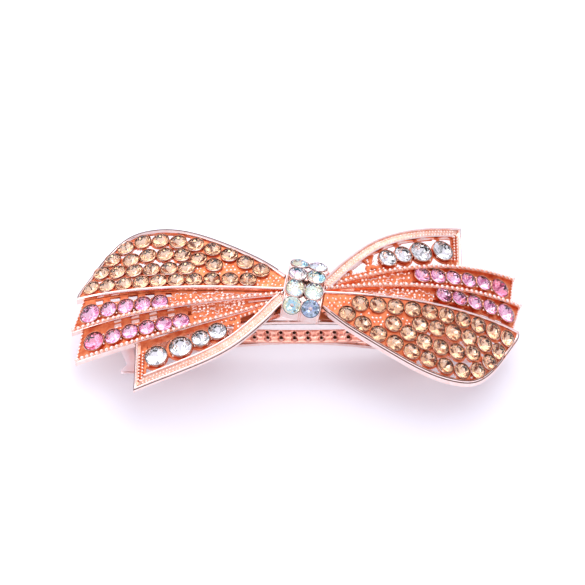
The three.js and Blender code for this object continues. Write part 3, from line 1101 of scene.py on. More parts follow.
@dataclass
class Loop:
    """A loop of the bow, set with champagne stones in four rows."""

    wing: WingShape
    finishes: Finishes
    jeweller: Jeweller
    columns: int = 210
    rows: int = 80
    stone_clear: float = 1.62
    metal_round_stone: float = 1.98
    web: float = 0.3
    rim_rows: list[StoneRow] = field(default_factory=lambda: [
        StoneRow("fold_row", Line([(11.9, -3.1), (27.4, -4.15), (38.4, -5.35), (45.0, -6.6)]), 10),
        StoneRow("outer_row", Line([(8.9, -5.6), (15.6, -10.3), (22.4, -13.8), (29.6, -16.2),
                                    (33.4, -16.75),
                                    (36.9, -16.1), (40.0, -13.4), (42.6, -10.2)]), 11),
        StoneRow("middle_row", Line([(18.85, -7.6), (25.3, -11.2), (32.6, -12.4), (36.3, -12.0)]), 6),
        StoneRow("short_row", Line([(24.75, -7.35), (32.1, -8.1), (39.3, -9.3)]), 5)])

    def build(self) -> None:
        """Makes the loop's casting, cups, grains and stones, on both wings."""
        height = self.wing.loop_z
        spots = self._set_stones(height)
        low = self.wing.loop_rim.even(self.columns + 1)
        high = along_x(self.wing.ridge_y, 4.5, 47.8, self.columns + 1)
        webs = self._webs(spots)

        def open_at(place: Vector, _share: float) -> bool:
            """True in the gaps between the stones, where the loop is pierced through.

            Args:
                place: A place, seen from above.
                _share: Not used.

            Returns:
                Whether the place is pierced.
            """
            if place.x < 23.2 or self.wing.ridge_y(place.x) - place.y < 3.1:
                return False
            gap = min((place - spot).length for spot in spots) - self.metal_round_stone
            if gap < 0 or self._distance_inside(place) < 0.95:
                return False
            return all(distance_to_line(place, a, b) > self.web for a, b in webs)

        panel = Panel(low, high, height, 0.62, 0.55, self.rows, open_at=open_at)
        panel.holes = [(spot, self.stone_clear) for spot in spots]
        panel.rings = [(spot, self.metal_round_stone) for spot in spots]
        make_pair("loop_casting", panel.build(), [self.finishes.bed], "loop")
        self._rims(height, low, high)
        self._grains(height, spots, open_at)

    def _set_stones(self, height: Height) -> list[Vector]:
        """Sets the four rows, and returns where the stones are, seen from above.

        Args:
            height: The surface that heights are measured from.

        Returns:
            Where the stones are.
        """
        spots = []
        cups = bmesh.new()
        for row in self.rim_rows:
            stones = bmesh.new()
            for place in row.line.even(row.count, height):
                table = surface_point(height, place.x, place.y)
                normal = surface_normal(height, place.x, place.y)
                self.jeweller.set_stone(stones, cups, table, normal, row.radius)
                spots.append(place)
            make_pair(f"loop_{row.name}_stones", stones, self.finishes.champagne, flat=True)
        make_pair("loop_cups", cups, [self.finishes.cup, self.finishes.painted_crevice_shade])
        return spots

    def _webs(self, spots: Sequence[Vector]) -> list[tuple[Vector, Vector]]:
        """The webs of metal from each stone to its neighbours and to the rim.

        Args:
            spots: Where the stones are.

        Returns:
            The two ends of each web.
        """
        webs = [(a, b) for k, a in enumerate(spots) for b in spots[:k] if (a - b).length < 4.7]
        for spot in spots:
            rim = min(self.wing.loop_rim.fine, key=lambda p: (p - spot).length)
            if (rim - spot).length < 4.0:
                webs.append((spot, rim))
        return webs

    def _rims(self, height: Height, low: Sequence[Vector], high: Sequence[Vector]) -> None:
        """The polished rim round the loop, with a painted shade line under its edge and a painted shade
        crease inside it, and the fold by the streamers.

        Args:
            height: The surface that heights are measured from.
            low: The ribbon's edge at lower y.
            high: The ribbon's edge at higher y.
        """
        bm = bmesh.new()
        corner = Line([tuple(low[-1]), (47.55, -5.5), (47.8, -4.5)]).even(8)
        edge_strip(bm, list(low[::2]) + corner[1:], height, -1, RIM_SECTION)
        edge_strip(bm, high[::2], height, 1, FOLD_SECTION)
        outwards(bm)
        edge_strip(bm, list(low[::2]) + corner[1:], height, -1, GROOVE_SECTION, 1)
        edge_strip(bm, list(low[::2])[4:-12], height, -1, CREASE_SECTION, 1)
        make_pair("loop_rim", bm, [self.finishes.rim, self.finishes.painted_crevice_shade])

    def _grains(self, height: Height, spots: Sequence[Vector],
                open_at: Callable[[Vector, float], bool]) -> None:
        """Cast beads over the bed wherever the stones leave room for them.

        Args:
            height: The surface that heights are measured from.
            spots: Where the stones are.
            open_at: Tells whether a place is pierced.
        """
        bm = bmesh.new()
        rng = random.Random(11)
        pitch = 0.98
        for i in range(5, 26):
            for j in range(-15, 0):
                place = Vector((i * pitch + (j % 2) * pitch / 2 + rng.uniform(-0.2, 0.2),
                                j * pitch * 0.9 + rng.uniform(-0.18, 0.18)))
                clear = min((place - s).length for s in spots) - 2.35
                if self._distance_inside(place) > 1.0 and clear > 0 and not open_at(place, 0.0):
                    spot = surface_point(height, place.x, place.y, 0.82)
                    self.jeweller.add_grain(bm, spot, rng.uniform(0.29, 0.43))
        make_pair("loop_grains", bm, [self.finishes.grain])

    def _distance_inside(self, place: Vector) -> float:
        """How far a place is inside the loop's edges; negative outside.

        Args:
            place: A place, seen from above.

        Returns:
            The distance.
        """
        fine = self.wing.loop_rim.fine
        nearest = min(fine, key=lambda p: (p - place).length)
        beside = min(fine, key=lambda p: abs(p.x - place.x))
        from_rim = (nearest - place).length if place.y > beside.y else -1.0
        return min(self.wing.ridge_y(place.x) - place.y, from_rim)


# ---- Streamers --------------------------------------------------------------------------------------------


@dataclass
class Streamer:
    """A beaded streamer with a row of pink stones and a pierced lattice near the knot."""

    name: str
    wing: WingShape
    finishes: Finishes
    jeweller: Jeweller
    height: Height
    low_line: Callable[[float], float]
    high_line: Callable[[float], float]
    low_span: Point2
    high_span: Point2
    stone_nodes: Sequence[str]
    bead_rise: float
    windows: list[tuple[float, float, float, float]]
    smooth_bars: list[tuple[float, float, float]]
    lattice: Sequence[tuple[float, float]]
    flats: Sequence[tuple[float, float, float, float]] = ()
    columns: int = 180
    rows: int = 26
    bead_radius: float = 0.45
    bead_pitch: float = 1.06

    def build(self) -> None:
        """Makes the streamer's casting, edge, beads and stones, on both wings."""
        low = along_x(self.low_line, *self.low_span, self.columns + 1, 0.4)
        high = along_x(self.high_line, *self.high_span, self.columns + 1)
        spots = self._set_stones()
        panel = Panel(low, high, self.height, rows=self.rows, open_at=self._is_window)
        panel.holes = [(spot, radius * 0.9) for spot, radius in spots]
        make_pair(f"{self.name}_casting", panel.build(), [self.finishes.bed], self.name)
        self._edges(low, high)
        self._beads(low, high, spots)

    def _is_window(self, place: Vector, share: float) -> bool:
        """True in the windows, which go from x to x and from share to share across the streamer."""
        return any(x0 < place.x < x1 and v0 < share < v1 for x0, x1, v0, v1 in self.windows)

    def _set_stones(self) -> list[tuple[Vector, float]]:
        """Sets a stone in the place of each stone node, and returns where they are and their radii.

        Returns:
            Where the stones are.
        """
        cups = bmesh.new()
        spots = []
        for node in self.stone_nodes:
            stones = bmesh.new()
            spots.append(self.jeweller.set_over_node(stones, cups, node, self.height, 0.05))
            colour = self.finishes.rose if node == "outer_pink_stone_6" else self.finishes.pink
            make_pair(f"{node}_gem", stones, colour, node, flat=True)
        make_pair(f"{self.name}_cups", cups, [self.finishes.cup, self.finishes.painted_crevice_shade])
        return spots

    def _edge_height(self, x: float, y: float) -> float:
        """The level of the beaded edge's beads."""
        return self.height(x, y) + self.bead_rise

    def _edges(self, low: Sequence[Vector], high: Sequence[Vector]) -> None:
        """The ledge and wall of the beaded edge, the end wall, the polished bars and the bright flats.

        Args:
            low: The ribbon's edge at lower y.
            high: The ribbon's edge at higher y.
        """
        ledge = bmesh.new()
        edge_strip(ledge, high[::3], self._edge_height, 1, LEDGE_SECTION)
        make_pair(f"{self.name}_ledge", outwards(ledge), [self.finishes.cup])
        bm = bmesh.new()
        edge_strip(bm, high[::3], self._edge_height, 1, WALL_SECTION)
        end = [low[-1].lerp(high[-1], k / 7) for k in range(8)]
        edge_strip(bm, end, self.height, -1, [(0.1, -1.9), (0.1, -1.0), (0.0, -0.85), (-0.1, -0.85),
                                              (-0.2, -1.0),
                                              (-0.2, -1.9)])
        for x0, x1, v in self.smooth_bars:
            bar = [self._between(x0 + (x1 - x0) * k / 12, v) for k in range(13)]
            edge_strip(bm, bar, self.height, 1, [(0.17, -1.2), (0.17, -0.72), (0.08, -0.6), (-0.08, -0.6),
                                                 (-0.17, -0.72), (-0.17, -1.2)])
        for x0, x1, v, half in self.flats:
            flat = [self._between(x0 + (x1 - x0) * k / 6, v) for k in range(7)]
            edge_strip(bm, flat, self.height, 1, [(half, -1.2), (half, -0.93), (half - 0.06, -0.87),
                                                  (0.06 - half, -0.87), (-half, -0.93), (-half, -1.2)])
        make_pair(f"{self.name}_edge", outwards(bm), [self.finishes.rim])

    def _between(self, x: float, v: float) -> Vector:
        """A place across the streamer, from 0 at its inner edge to 1 at its beaded edge."""
        low, high = self.low_line(x) + 0.4, self.high_line(x)
        return Vector((x, low + (high - low) * v))

    def _beads(self, low: Sequence[Vector], high: Sequence[Vector],
               spots: Sequence[tuple[Vector, float]]) -> None:
        """The bead line of the edge and of the end, and the grains of the lattice.

        Args:
            low: The ribbon's edge at lower y.
            high: The ribbon's edge at higher y.
            spots: Where the stones are.
        """
        bm = bmesh.new()
        edge = Line([tuple(p) for p in high[:: len(high) // 9]] + [tuple(high[-1])])
        length = sum((b - a).length for a, b in zip(high, high[1:]))
        for place in edge.even(int(length / self.bead_pitch), self._edge_height):
            self.jeweller.add_grain(bm, surface_point(self._edge_height, place.x, place.y, 0.28),
                                    self.bead_radius)
        count = int((high[-1] - low[-1]).length / 0.82)
        for k in range(count):
            place = low[-1].lerp(high[-1], (k + 0.5) / count)
            self.jeweller.add_grain(bm, surface_point(self.height, place.x - 0.15, place.y, 0.62), 0.3)
        rng = random.Random(len(self.name))
        for v, start in self.lattice:
            x = start
            stop = min(spot.x - radius for spot, radius in spots) - 0.4
            while x < stop:
                place = self._between(x, v)
                near = any(self._is_window(place + Vector((dx, 0)), v + dv)
                           for dx in (-0.3, 0.3) for dv in (-0.06, 0.06))
                spot = surface_point(self.height, place.x, place.y + rng.uniform(-0.18, 0.18), 0.8)
                if not near and rng.random() < 0.28:
                    turn = Matrix.Rotation(rng.uniform(-0.5, 0.5) + math.pi * rng.randrange(2), 4, "Z")
                    stamp(bm, self.jeweller.scallop, Matrix.Translation(spot) @ turn)
                elif not near:
                    self.jeweller.add_grain(bm, spot, rng.uniform(0.27, 0.43))
                x += rng.uniform(0.75, 1.2)
        for (a, ra), (b, rb) in zip(spots, spots[1:]):
            middle = a.lerp(b, ra / (ra + rb))
            for side in (-1.15, 1.15):
                self.jeweller.add_grain(bm, surface_point(self.height, middle.x, middle.y + side, 0.55),
                                        0.3)
        make_pair(f"{self.name}_beads", bm, [self.finishes.grain])


# ---- Tails ------------------------------------------------------------------------------------------------


@dataclass
class Tail:
    """A tail with a wide milled border round an open field of clear stones."""

    wing: WingShape
    finishes: Finishes
    jeweller: Jeweller
    border: float = 2.35
    columns: int = 150
    rows: int = 40
    milling_pitch: float = 0.74

    def build(self) -> None:
        """Makes the tail's casting, border, milling, lattice and stones, on both wings."""
        height = self.wing.tail_z
        low = along_x(self.wing.outer_bead_y, 5.1, 36.0, self.columns + 1, 0.4)
        high = self.wing.tail_rim.even(self.columns + 1)
        spots = self._set_stones(height)
        end_low, end_high = low[-1], high[-1]
        across = (end_high - end_low).normalized()
        posts = self._posts(spots)

        def open_at(place: Vector, _share: float) -> bool:
            """True in the open field round the stones.

            Args:
                place: A place, seen from above.
                _share: Not used.

            Returns:
                Whether the place is pierced.
            """
            edge = min((p - place).length for p in high[::2])
            beyond_end = (place - end_low).cross(across)
            under = place.y - self.wing.outer_bead_y(place.x) - 0.4
            if edge < self.border or beyond_end > -self.border or under < 0.7 or place.x < 6.8:
                return False
            if min((place - spot).length - radius for spot, radius in spots) < 0.42:
                return False
            return all(distance_to_line(place, a, b) > half for a, b, half in posts)

        panel = Panel(low, high, height, rows=self.rows, open_at=open_at)
        panel.holes = [(spot, radius * 0.92) for spot, radius in spots]
        panel.rings = [(spot, radius + 0.42) for spot, radius in spots]
        make_pair("tail_casting", panel.build(), [self.finishes.bed], "tail")
        self._border(height, low, high)
        self._lattice(height, spots)

    def _set_stones(self, height: Height) -> list[tuple[Vector, float]]:
        """Sets the four clear stones, and returns where they are and their radii.

        Args:
            height: The surface that heights are measured from.

        Returns:
            Where the stones are.
        """
        cups = bmesh.new()
        spots = []
        for k in range(1, 5):
            node = f"clear_stone_{k}"
            stones = bmesh.new()
            spots.append(self.jeweller.set_over_node(stones, cups, node, height, 0.1))
            make_pair(f"{node}_gem", stones, self.finishes.clear, node, flat=True)
        make_pair("tail_cups", cups, [self.finishes.cup, self.finishes.painted_crevice_shade])
        return spots

    def _posts(self, spots: Sequence[tuple[Vector, float]]) -> list[tuple[Vector, Vector, float]]:
        """The struts of the open field: from a point to a point, with half a width.

        Args:
            spots: Where the stones are.

        Returns:
            The struts.
        """
        posts = [(Vector((10.9, 3.4)), Vector((10.4, 7.2)), 0.3),
                 (Vector((14.0, 4.6)), Vector((15.6, 10.6)), 0.45),
                 (Vector((14.4, 7.0)), Vector((18.6, 7.6)), 0.4),
                 (Vector((12.6, 9.6)), Vector((17.6, 6.2)), 0.3)]
        for spot, _radius in spots:
            border = min(self.wing.tail_rim.fine, key=lambda p: (p - spot).length)
            posts.append((spot, border, 0.4))
            posts.append((spot, Vector((spot.x + 1.4, spot.y - 4.0)), 0.45))
        return posts

    def _border(self, height: Height, low: Sequence[Vector], high: Sequence[Vector]) -> None:
        """The border along the outer edge and the end: two polished edge lines, a painted shade line beside
        each, and two rows of fine milling.

        Args:
            height: The surface that heights are measured from.
            low: The ribbon's edge at lower y.
            high: The ribbon's edge at higher y.
        """
        rim = bmesh.new()
        outer_line = [(0.1, -1.3), (0.08, -0.4), (0.02, -0.08), (-0.1, 0.02), (-0.24, 0.02), (-0.38, -0.08),
                      (-0.42, -0.35), (-0.42, -1.1), (-0.2, -1.3)]
        inner_line = [(d - self.border + 0.32, max(z, -1.2)) for d, z in outer_line]
        end = [high[-1].lerp(low[-1], k / 23) for k in range(24)]
        outline = list(high[:-10:2]) + [high[-1]] + end[6:]
        edge_strip(rim, outline, height, 1, outer_line)
        edge_strip(rim, outline, height, 1, inner_line)
        outwards(rim)
        # Two thin strips in material 1: painted shade lines under the outer edge line and along the border's
        # inner side.
        edge_strip(rim, outline, height, 1, [(0.13, -0.44), (0.11, -0.24), (0.0, -0.24), (0.0, -0.44)], 1)
        edge_strip(rim, outline, height, 1, [(-self.border - 0.02, -0.7), (-self.border - 0.02, -0.4),
                                             (0.1 - self.border, -0.4), (0.1 - self.border, -0.7)], 1)
        make_pair("tail_rim", rim, [self.finishes.rim, self.finishes.painted_crevice_shade])
        band = bmesh.new()
        section = [(-0.2, -1.2), (-0.2, -0.4), (-self.border + 0.2, -0.4), (-self.border + 0.2, -1.2)]
        edge_strip(band, outline, height, 1, section)
        make_pair("tail_band", outwards(band), [self.finishes.border])
        self._milling(height, outline)

    def _milling(self, height: Height, outline: Sequence[Vector]) -> None:
        """Two rows of fine beads in the border, the second half a pitch behind the first.

        Args:
            height: The surface that heights are measured from.
            outline: The outline's points.
        """
        bm = bmesh.new()
        corner = max(range(len(outline)), key=lambda k: outline[k].x + outline[k].y)
        for path, start in ((outline[: corner + 1], 1), (outline[corner:], 5)):
            length = sum((b - a).length for a, b in zip(path, path[1:]))
            line = Line([tuple(path[round(k * (len(path) - 1) / 8)]) for k in range(9)])
            places = line.even(2 * int(length / self.milling_pitch) + 1, height)
            for k, place in enumerate(places[start:-5], start):
                along = (places[k + 1] - places[k - 1]).normalized()
                inward = Vector((along.y, -along.x))
                spot = place + inward * (self.border / 2 + (0.36 if k % 2 else -0.36))
                self.jeweller.add_grain(bm, surface_point(height, spot.x, spot.y, 0.4), 0.27)
        make_pair("tail_milling", bm, [self.finishes.grain])

    def _lattice(self, height: Height, spots: Sequence[tuple[Vector, float]]) -> None:
        """Grains on the lattice near the knot and on the claws beside the stones.

        Args:
            height: The surface that heights are measured from.
            spots: Where the stones are.
        """
        bm = bmesh.new()
        rng = random.Random(5)
        low_line = self.wing.outer_bead_y
        for x0, x1, rise in ((6.6, 18.0, 0.75), (14.6, 17.6, 2.2), (14.6, 17.0, 3.1)):
            x = x0
            while x < x1:
                self.jeweller.add_grain(bm, surface_point(height, x, low_line(x) + 0.4 + rise, 0.8),
                                        rng.uniform(0.26, 0.34))
                x += rng.uniform(0.9, 1.15)
        for spot, radius in spots:
            for angle in (0.9, 2.3, 4.0, 5.5):
                place = spot + Vector((math.cos(angle), math.sin(angle))) * (radius + 0.12)
                self.jeweller.add_grain(bm, surface_point(height, place.x, place.y, 0.42), 0.3)
        make_pair("tail_grains", bm, [self.finishes.grain])


# ---- Knot -------------------------------------------------------------------------------------------------


@dataclass
class Knot:
    """The knot: an arched band with two columns of rainbow stones."""

    finishes: Finishes
    jeweller: Jeweller
    bow_level: float
    turn: float = math.radians(-13)
    radius: float = 9.4
    half_span: float = 7.2
    leg_steps: int = 10
    arch_steps: int = 40
    foot_drop: float = 3.6

    def build(self) -> None:
        """Makes the band, its cups and the eight stones."""
        axis_level = self.bow_level - 7.5
        place = Matrix.Rotation(self.turn, 4, "Z")
        band = bmesh.new()
        sweep(band, self._stations(axis_level))
        bmesh.ops.transform(band, matrix=place, verts=band.verts)
        make_piece("knot_band_casting", outwards(band), [self.finishes.rim], Body.BOW,
                   ["knot_band"])
        cups = bmesh.new()
        for k in range(8):
            row, column = divmod(k, 2)
            tilt = (row - 1.5) * math.radians(21.4)
            up = Vector((0, math.sin(tilt), math.cos(tilt)))
            table = up * (self.radius + 1.25) + Vector(((column - 0.5) * 4.0, 0, axis_level))
            stones = bmesh.new()
            self.jeweller.set_stone(stones, cups, place @ table, place.to_3x3() @ up, 1.86)
            colour = self.finishes.blue_rainbow if k == 1 else self.finishes.rainbow
            make_piece(f"knot_stone_{k + 1}_gem", stones, colour, Body.BOW,
                       [f"knot_stone_{k + 1}"], flat=True)
        make_piece("knot_cups", cups, [self.finishes.rim, self.finishes.painted_crevice_shade], Body.BOW)

    def _stations(self, axis_level: float) -> list[list[Vector]]:
        """The band's section at each step from its front foot over the top to its back foot.

        Args:
            axis_level: The height of the arch's axis.

        Returns:
            The section's points at each step.
        """
        leg_angle = math.asin(self.half_span / self.radius)
        foot = self.bow_level - self.foot_drop
        shoulder = axis_level + self.radius * math.cos(leg_angle)
        legs = range(self.leg_steps)
        rise = shoulder - foot
        path = [(-self.half_span, foot + rise * k / self.leg_steps, -math.pi / 2) for k in legs]
        for k in range(self.arch_steps + 1):
            angle = -leg_angle + 2 * leg_angle * k / self.arch_steps
            path.append((self.radius * math.sin(angle), axis_level + self.radius * math.cos(angle), angle))
        path += [(self.half_span, shoulder + (foot - shoulder) * (k + 1) / self.leg_steps,
                  math.pi / 2) for k in legs]
        stations = []
        for k, (v, z, angle) in enumerate(path):
            outward = Vector((0, math.sin(angle), math.cos(angle)))
            on_leg = k < self.leg_steps or k >= len(path) - self.leg_steps
            ribs = 0.09 * (k % 2) if on_leg else 0.0
            section = [(-4.2, -0.95), (-4.2, -0.1), (-4.05, 0.12), (-3.85, 0.12), (-3.7, -0.1 + ribs),
                       (-0.3, -0.1 + ribs),
                       (-0.12, -0.3), (0.12, -0.3), (0.3, -0.1 + ribs), (3.7, -0.1 + ribs), (3.85, 0.12),
                       (4.05, 0.12),
                       (4.2, -0.1), (4.2, -0.95)]
            from_foot = max(0, self.leg_steps - k, k - len(path) + self.leg_steps + 1)
            spread = from_foot / self.leg_steps
            centre = Vector((2.3 * spread * math.copysign(1, v), v * (1 - 0.13 * spread), z))
            across = Vector((math.cos(self.turn * spread), -math.sin(self.turn * spread),
                             0)) * (1 + 0.02 * spread)
            stations.append([centre + across * u + outward * rise for u, rise in section])
        return stations


# ---- Clasp ------------------------------------------------------------------------------------------------


@dataclass
class Leaf:
    """A strip of sheet that follows a path of x and z, with its own width and thickness."""

    path: Sequence[Point2]
    half_width: Callable[[float], float]
    thickness: float
    centre_y: float
    steps: int = 120
    rows: int = 12
    bump: Callable[[float, float], float] | None = None
    pierced: Callable[[float, float], bool] | None = None

    def build(self) -> bmesh.types.BMesh:
        """Makes the strip. Its path is the middle of its upper face.

        Returns:
            The strip, closed all round.
        """
        line = Line(self.path).even(self.steps + 1)
        bm = bmesh.new()
        bmesh.ops.create_grid(bm, x_segments=self.steps, y_segments=self.rows, size=0.5)
        under = bm.verts.layers.float_vector.new("under")
        for vert in bm.verts:
            k = round((vert.co.x + 0.5) * self.steps)
            point = line[k]
            along = (line[min(k + 1, self.steps)] - line[max(k - 1, 0)]).normalized()
            y = 2 * vert.co.y * self.half_width(point.x)
            rise = self.bump(point.x, y) if self.bump else 0.0
            vert[under] = Vector((along.y, 0, -along.x))
            vert.co = Vector((point.x, self.centre_y + y, point.y + rise))
        if self.pierced:
            cut = []
            for face in bm.faces:
                centre = face.calc_center_median()
                if self.pierced(centre.x, centre.y - self.centre_y):
                    cut.append(face)
            bmesh.ops.delete(bm, geom=cut, context="FACES")
        return thicken(bm, self.thickness)


def turned(profile: Sequence[Point2], steps: int = 24, closed: bool = False) -> bmesh.types.BMesh:
    """Spins a profile of radius and height about Z.

    Args:
        profile: Radius and height of each point.
        steps: How many steps the full turn takes.
        closed: True if the last point meets the first.

    Returns:
        The turned shape.
    """
    bm = bmesh.new()
    verts = [bm.verts.new((r, 0, z)) for r, z in profile]
    after = verts[1:] + verts[:1] if closed else verts[1:]
    edges = [bm.edges.new(pair) for pair in zip(verts, after)]
    bmesh.ops.spin(bm, geom=verts + edges, cent=(0, 0, 0), axis=(0, 0, 1), angle=math.tau, steps=steps,
                   use_merge=True, use_duplicate=False)
    return outwards(bm)


@dataclass
class Clasp:
    """The spring clasp behind the bow: plate, hinge, closing arm, tension spring and catch."""

    finishes: Finishes
    bow_level: float
    y: float = -2.0
    plate_radius: float = 135.0

    def build(self) -> None:
        """Makes every piece of the clasp."""
        self._plate()
        self._pin_and_rivets()
        self._arm()
        self._spring()
        for side, body in ((-1, Body.FRONT_PRONG), (1, Body.REAR_PRONG)):
            self._prong(side, body)

    def _plate_top(self, x: float) -> float:
        """The plate's upper face."""
        return self.bow_level - 3.7 - x * x / (2 * self.plate_radius)

    def _plate(self) -> None:
        """The arched base plate with its rolled edges, ears, catch bracket, saddle and solder."""
        bm = bmesh.new()
        half, lip = 4.0, 0.16
        stations = []
        for k in range(61):
            x = -38 + 76 * k / 60
            top = self._plate_top(x)
            section = [(-half, -lip), (-half + lip, 0.0), (-half + 0.9, 0.0), (-half + 1.1, -0.12),
                       (half - 1.1, -0.12),
                       (half - 0.9, 0.0), (half - lip, 0.0), (half, -lip), (half, -0.5), (half, -0.72),
                       (half - lip, -0.85),
                       (-half + lip, -0.85), (-half, -0.72), (-half, -0.5)]
            stations.append([Vector((x, self.y + y, top + z)) for y, z in section])
        sweep(bm, stations)
        low, high = node_box("hinge_pin")
        pin = (low + high) / 2
        for side in (-1, 1):
            self._ear(bm, pin, side)
        outwards(bm)
        # Inner top faces get the plate top's painted reflection; the lower band of the front and back faces
        # gets a painted shade line.
        for face in bm.faces:
            centre = face.calc_center_median()
            inner = abs(centre.y - self.y) < half - 0.95
            below = centre.z - self._plate_top(centre.x)
            rolled = abs(face.normal.y) > 0.9 and -0.7 < below < -0.5 and abs(centre.x) < 34
            face.material_index = 1 if inner and face.normal.z > 0.5 else 2 if rolled else 0
        finishes = [self.finishes.sheet, self.finishes.field, self.finishes.painted_crevice_shade]
        make_piece("base_plate_sheet", bm, finishes, Body.BOW, ["base_plate"])
        for node in ("catch_bracket", "center_saddle", "right_solder_post", "left_solder_post"):
            self._rounded_block(node)

    def _ear(self, bm: bmesh.types.BMesh, pin: Vector, side: int) -> None:
        """One hinge ear: a rounded tongue bent down from the plate's edge.

        Args:
            bm: The shape that is worked on.
            pin: The middle of the hinge pin.
            side: -1 for the front, 1 for the back.
        """
        outline = [(34.4, self._plate_top(34.4) - 0.4)]
        outline += [(pin.x + 1.9 * math.cos(a), pin.z + 1.9 * math.sin(a))
                    for a in (math.pi + math.pi * k / 12 for k in range(13))]
        outline.append((37.95, self._plate_top(37.95) - 0.4))
        inner, outer = (self.y + side * distance for distance in (3.3, 4.0))
        draw_out(bm, outline, inner, outer - inner)

    def _rounded_block(self, node: str) -> None:
        """A small block of the node's own shape, with its corners broken.

        Args:
            node: The CAD node.
        """
        bm = bmesh.new()
        bm.from_mesh(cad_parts[node].data)
        bmesh.ops.scale(bm, vec=(1 / MM, 1 / MM, 1 / MM), verts=bm.verts)
        bmesh.ops.remove_doubles(bm, verts=bm.verts, dist=1e-3)
        bmesh.ops.dissolve_limit(bm, angle_limit=0.02, verts=bm.verts, edges=bm.edges)
        break_corners(bm, 0.8, 0.12)
        make_piece(f"{node}_body", outwards(bm), [self.finishes.cup], Body.BOW, [node])

    def _pin_and_rivets(self) -> None:
        """The hinge pin with domed heads, and the two rivets."""
        low, high = node_box("hinge_pin")
        centre = (low + high) / 2
        half = (high.y - low.y) / 2
        profile = [(0, -half), (0.7, -half + 0.05), (1.1, -half + 0.2), (1.2, -half + 0.42),
                   (1.2, -half + 0.5), (0.7, -half + 0.5)]
        pin = turned(profile + [(r, -z) for r, z in reversed(profile)])
        bmesh.ops.rotate(pin, cent=(0, 0, 0), matrix=Matrix.Rotation(math.pi / 2, 3, "X"), verts=pin.verts)
        bmesh.ops.translate(pin, vec=centre, verts=pin.verts)
        make_piece("hinge_pin_turned", pin, [self.finishes.sheet], Body.BOW, ["hinge_pin"])
        for node in ("catch_rivet", "spring_rivet"):
            low, high = node_box(node)
            height = high.z - low.z
            rivet = turned([(0, 0), (0.7, 0.04), (1.25, 0.18), (1.5, 0.42), (1.5, 0.5), (0.8, 0.52),
                            (0.8, height - 0.1),
                            (0.7, height), (0, height)])
            bmesh.ops.translate(rivet, vec=((low.x + high.x) / 2, self.y, low.z), verts=rivet.verts)
            make_piece(f"{node}_turned", rivet, [self.finishes.sheet], Body.BOW, [node])

    def _arm(self) -> None:
        """The closing arm: a waisted arched strip with flat pads, a slotted tip and a rolled eye."""
        arch = [(x, 4.95 - x * x / 240) for x in range(-28, 29, 4)]
        path = [(-37.6, 2.0), (-36, 2.0), (-34.2, 2.0), (-32.4, 0.9), (-31, 0.9), (-29.8, 0.95), *arch,
                (29.8, 0.95),
                (31.5, 0.9), (33.2, 0.95), (37.2, 1.55)]
        widths = Line([(-37.6, 3.5), (-36.8, 4.2), (-33.2, 4.2), (-30, 3.0), (-18, 2.0), (0, 1.5),
                       (18, 2.0),
                       (30, 3.0), (37.5, 2.9)]).fine

        def half_width(x: float) -> float:
            """Half the arm's width at an x."""
            return min(widths, key=lambda p: abs(p.x - x)).y

        leaf = Leaf(path, half_width, 0.9, self.y, steps=190, rows=14,
                    bump=lambda x, y: -0.16 * max(0.0, 1 - (y / (0.7 * half_width(x))) ** 2) if abs(x) < 28
                    else 0.0,
                    pierced=lambda x, y: -36.4 < x < -33.6 and abs(y) < 2.9)
        bm = leaf.build()
        low, high = node_box("hinge_pin")
        pin = (low + high) / 2
        angles = [-2.2 + 5.6 * k / 23 for k in range(24)]
        outline = [(pin.x + math.cos(a) * 1.02, pin.z + math.sin(a) * 1.02) for a in angles]
        outline += [(pin.x + math.cos(a) * 1.6, pin.z + math.sin(a) * 1.6) for a in reversed(angles)]
        draw_out(bm, outline, self.y - 2.9, 5.8)
        make_piece("closing_arm_sheet", outwards(bm), [self.finishes.sheet], Body.ARM,
                   ["closing_arm"])

    def _spring(self) -> None:
        """The tension spring: a bowed leaf with pairs of punched points that grip the hair."""
        bow = [(x, 5.75 + 0.0028 * x * x) for x in range(-31, 22, 4)]
        path = [*bow, (23, 7.6), (25, 8.7), (27.2, 10.1), (28.8, 10.5), (31, 10.55), (34, 10.55)]
        pitch, gauge, forward = 2.93, 0.68, 0.55
        points = [(-0.86 + pitch * k, side * gauge) for k in range(-9, 8) for side in (-1, 1)]

        def bump(x: float, y: float) -> float:
            """Height of a punched point, or of the dimple between two pairs.

            Args:
                x: The place's x.
                y: The place's y.

            Returns:
                The height.
            """
            near = min(math.hypot(x - px, y - py) for px, py in points)
            dimple = min(math.hypot(x - px - pitch / 2, y) for px, _py in points)
            edge = 0.12 * max(0.0, (abs(y) - 1.25) / 0.3)
            point = 0.5 * max(0.0, 1 - abs(near - 0.42) / 0.36) - 0.22 * max(0.0, 1 - near / 0.34)
            return point - 0.2 * max(0.0, 1 - dimple / 0.45) + edge

        leaf = Leaf(path, lambda x: 1.6, 0.5, self.y - forward, steps=400, rows=24, bump=bump).build()
        # Faces in the punched points take material 1: painted shade for the hollows.
        for face in leaf.faces:
            centre = face.calc_center_median()
            near = min(math.hypot(centre.x - px, centre.y - self.y + forward - py) for px, py in points)
            face.material_index = 1 if near < 0.4 and face.normal.z > 0 else 0
        make_piece("tension_spring_leaf", leaf, [self.finishes.leaf, self.finishes.painted_crevice_shade], Body.SPRING,
                   ["tension_spring"])

    @staticmethod
    def _tab_spread(share: float) -> Point2:
        """The finger tab from edge to edge: it narrows to a neck and ends in a rounded nose.

        Args:
            share: How far along the leg, from 0 to 1.

        Returns:
            The x of its two edges.
        """
        neck = max(0.0, min(1.0, (share - 0.15) / 0.6))
        nose = max(0.0, (share - 0.75) / 0.25)
        left = -39.7 + 2.4 * neck - 1.5 * math.sin(nose * math.pi / 2)
        right = -36.4 + 1.2 * neck + 0.7 * math.sin(nose * math.pi / 2)
        tip = 0.9 * max(0.0, (share - 0.93) / 0.07) ** 2
        return left + tip, right - tip

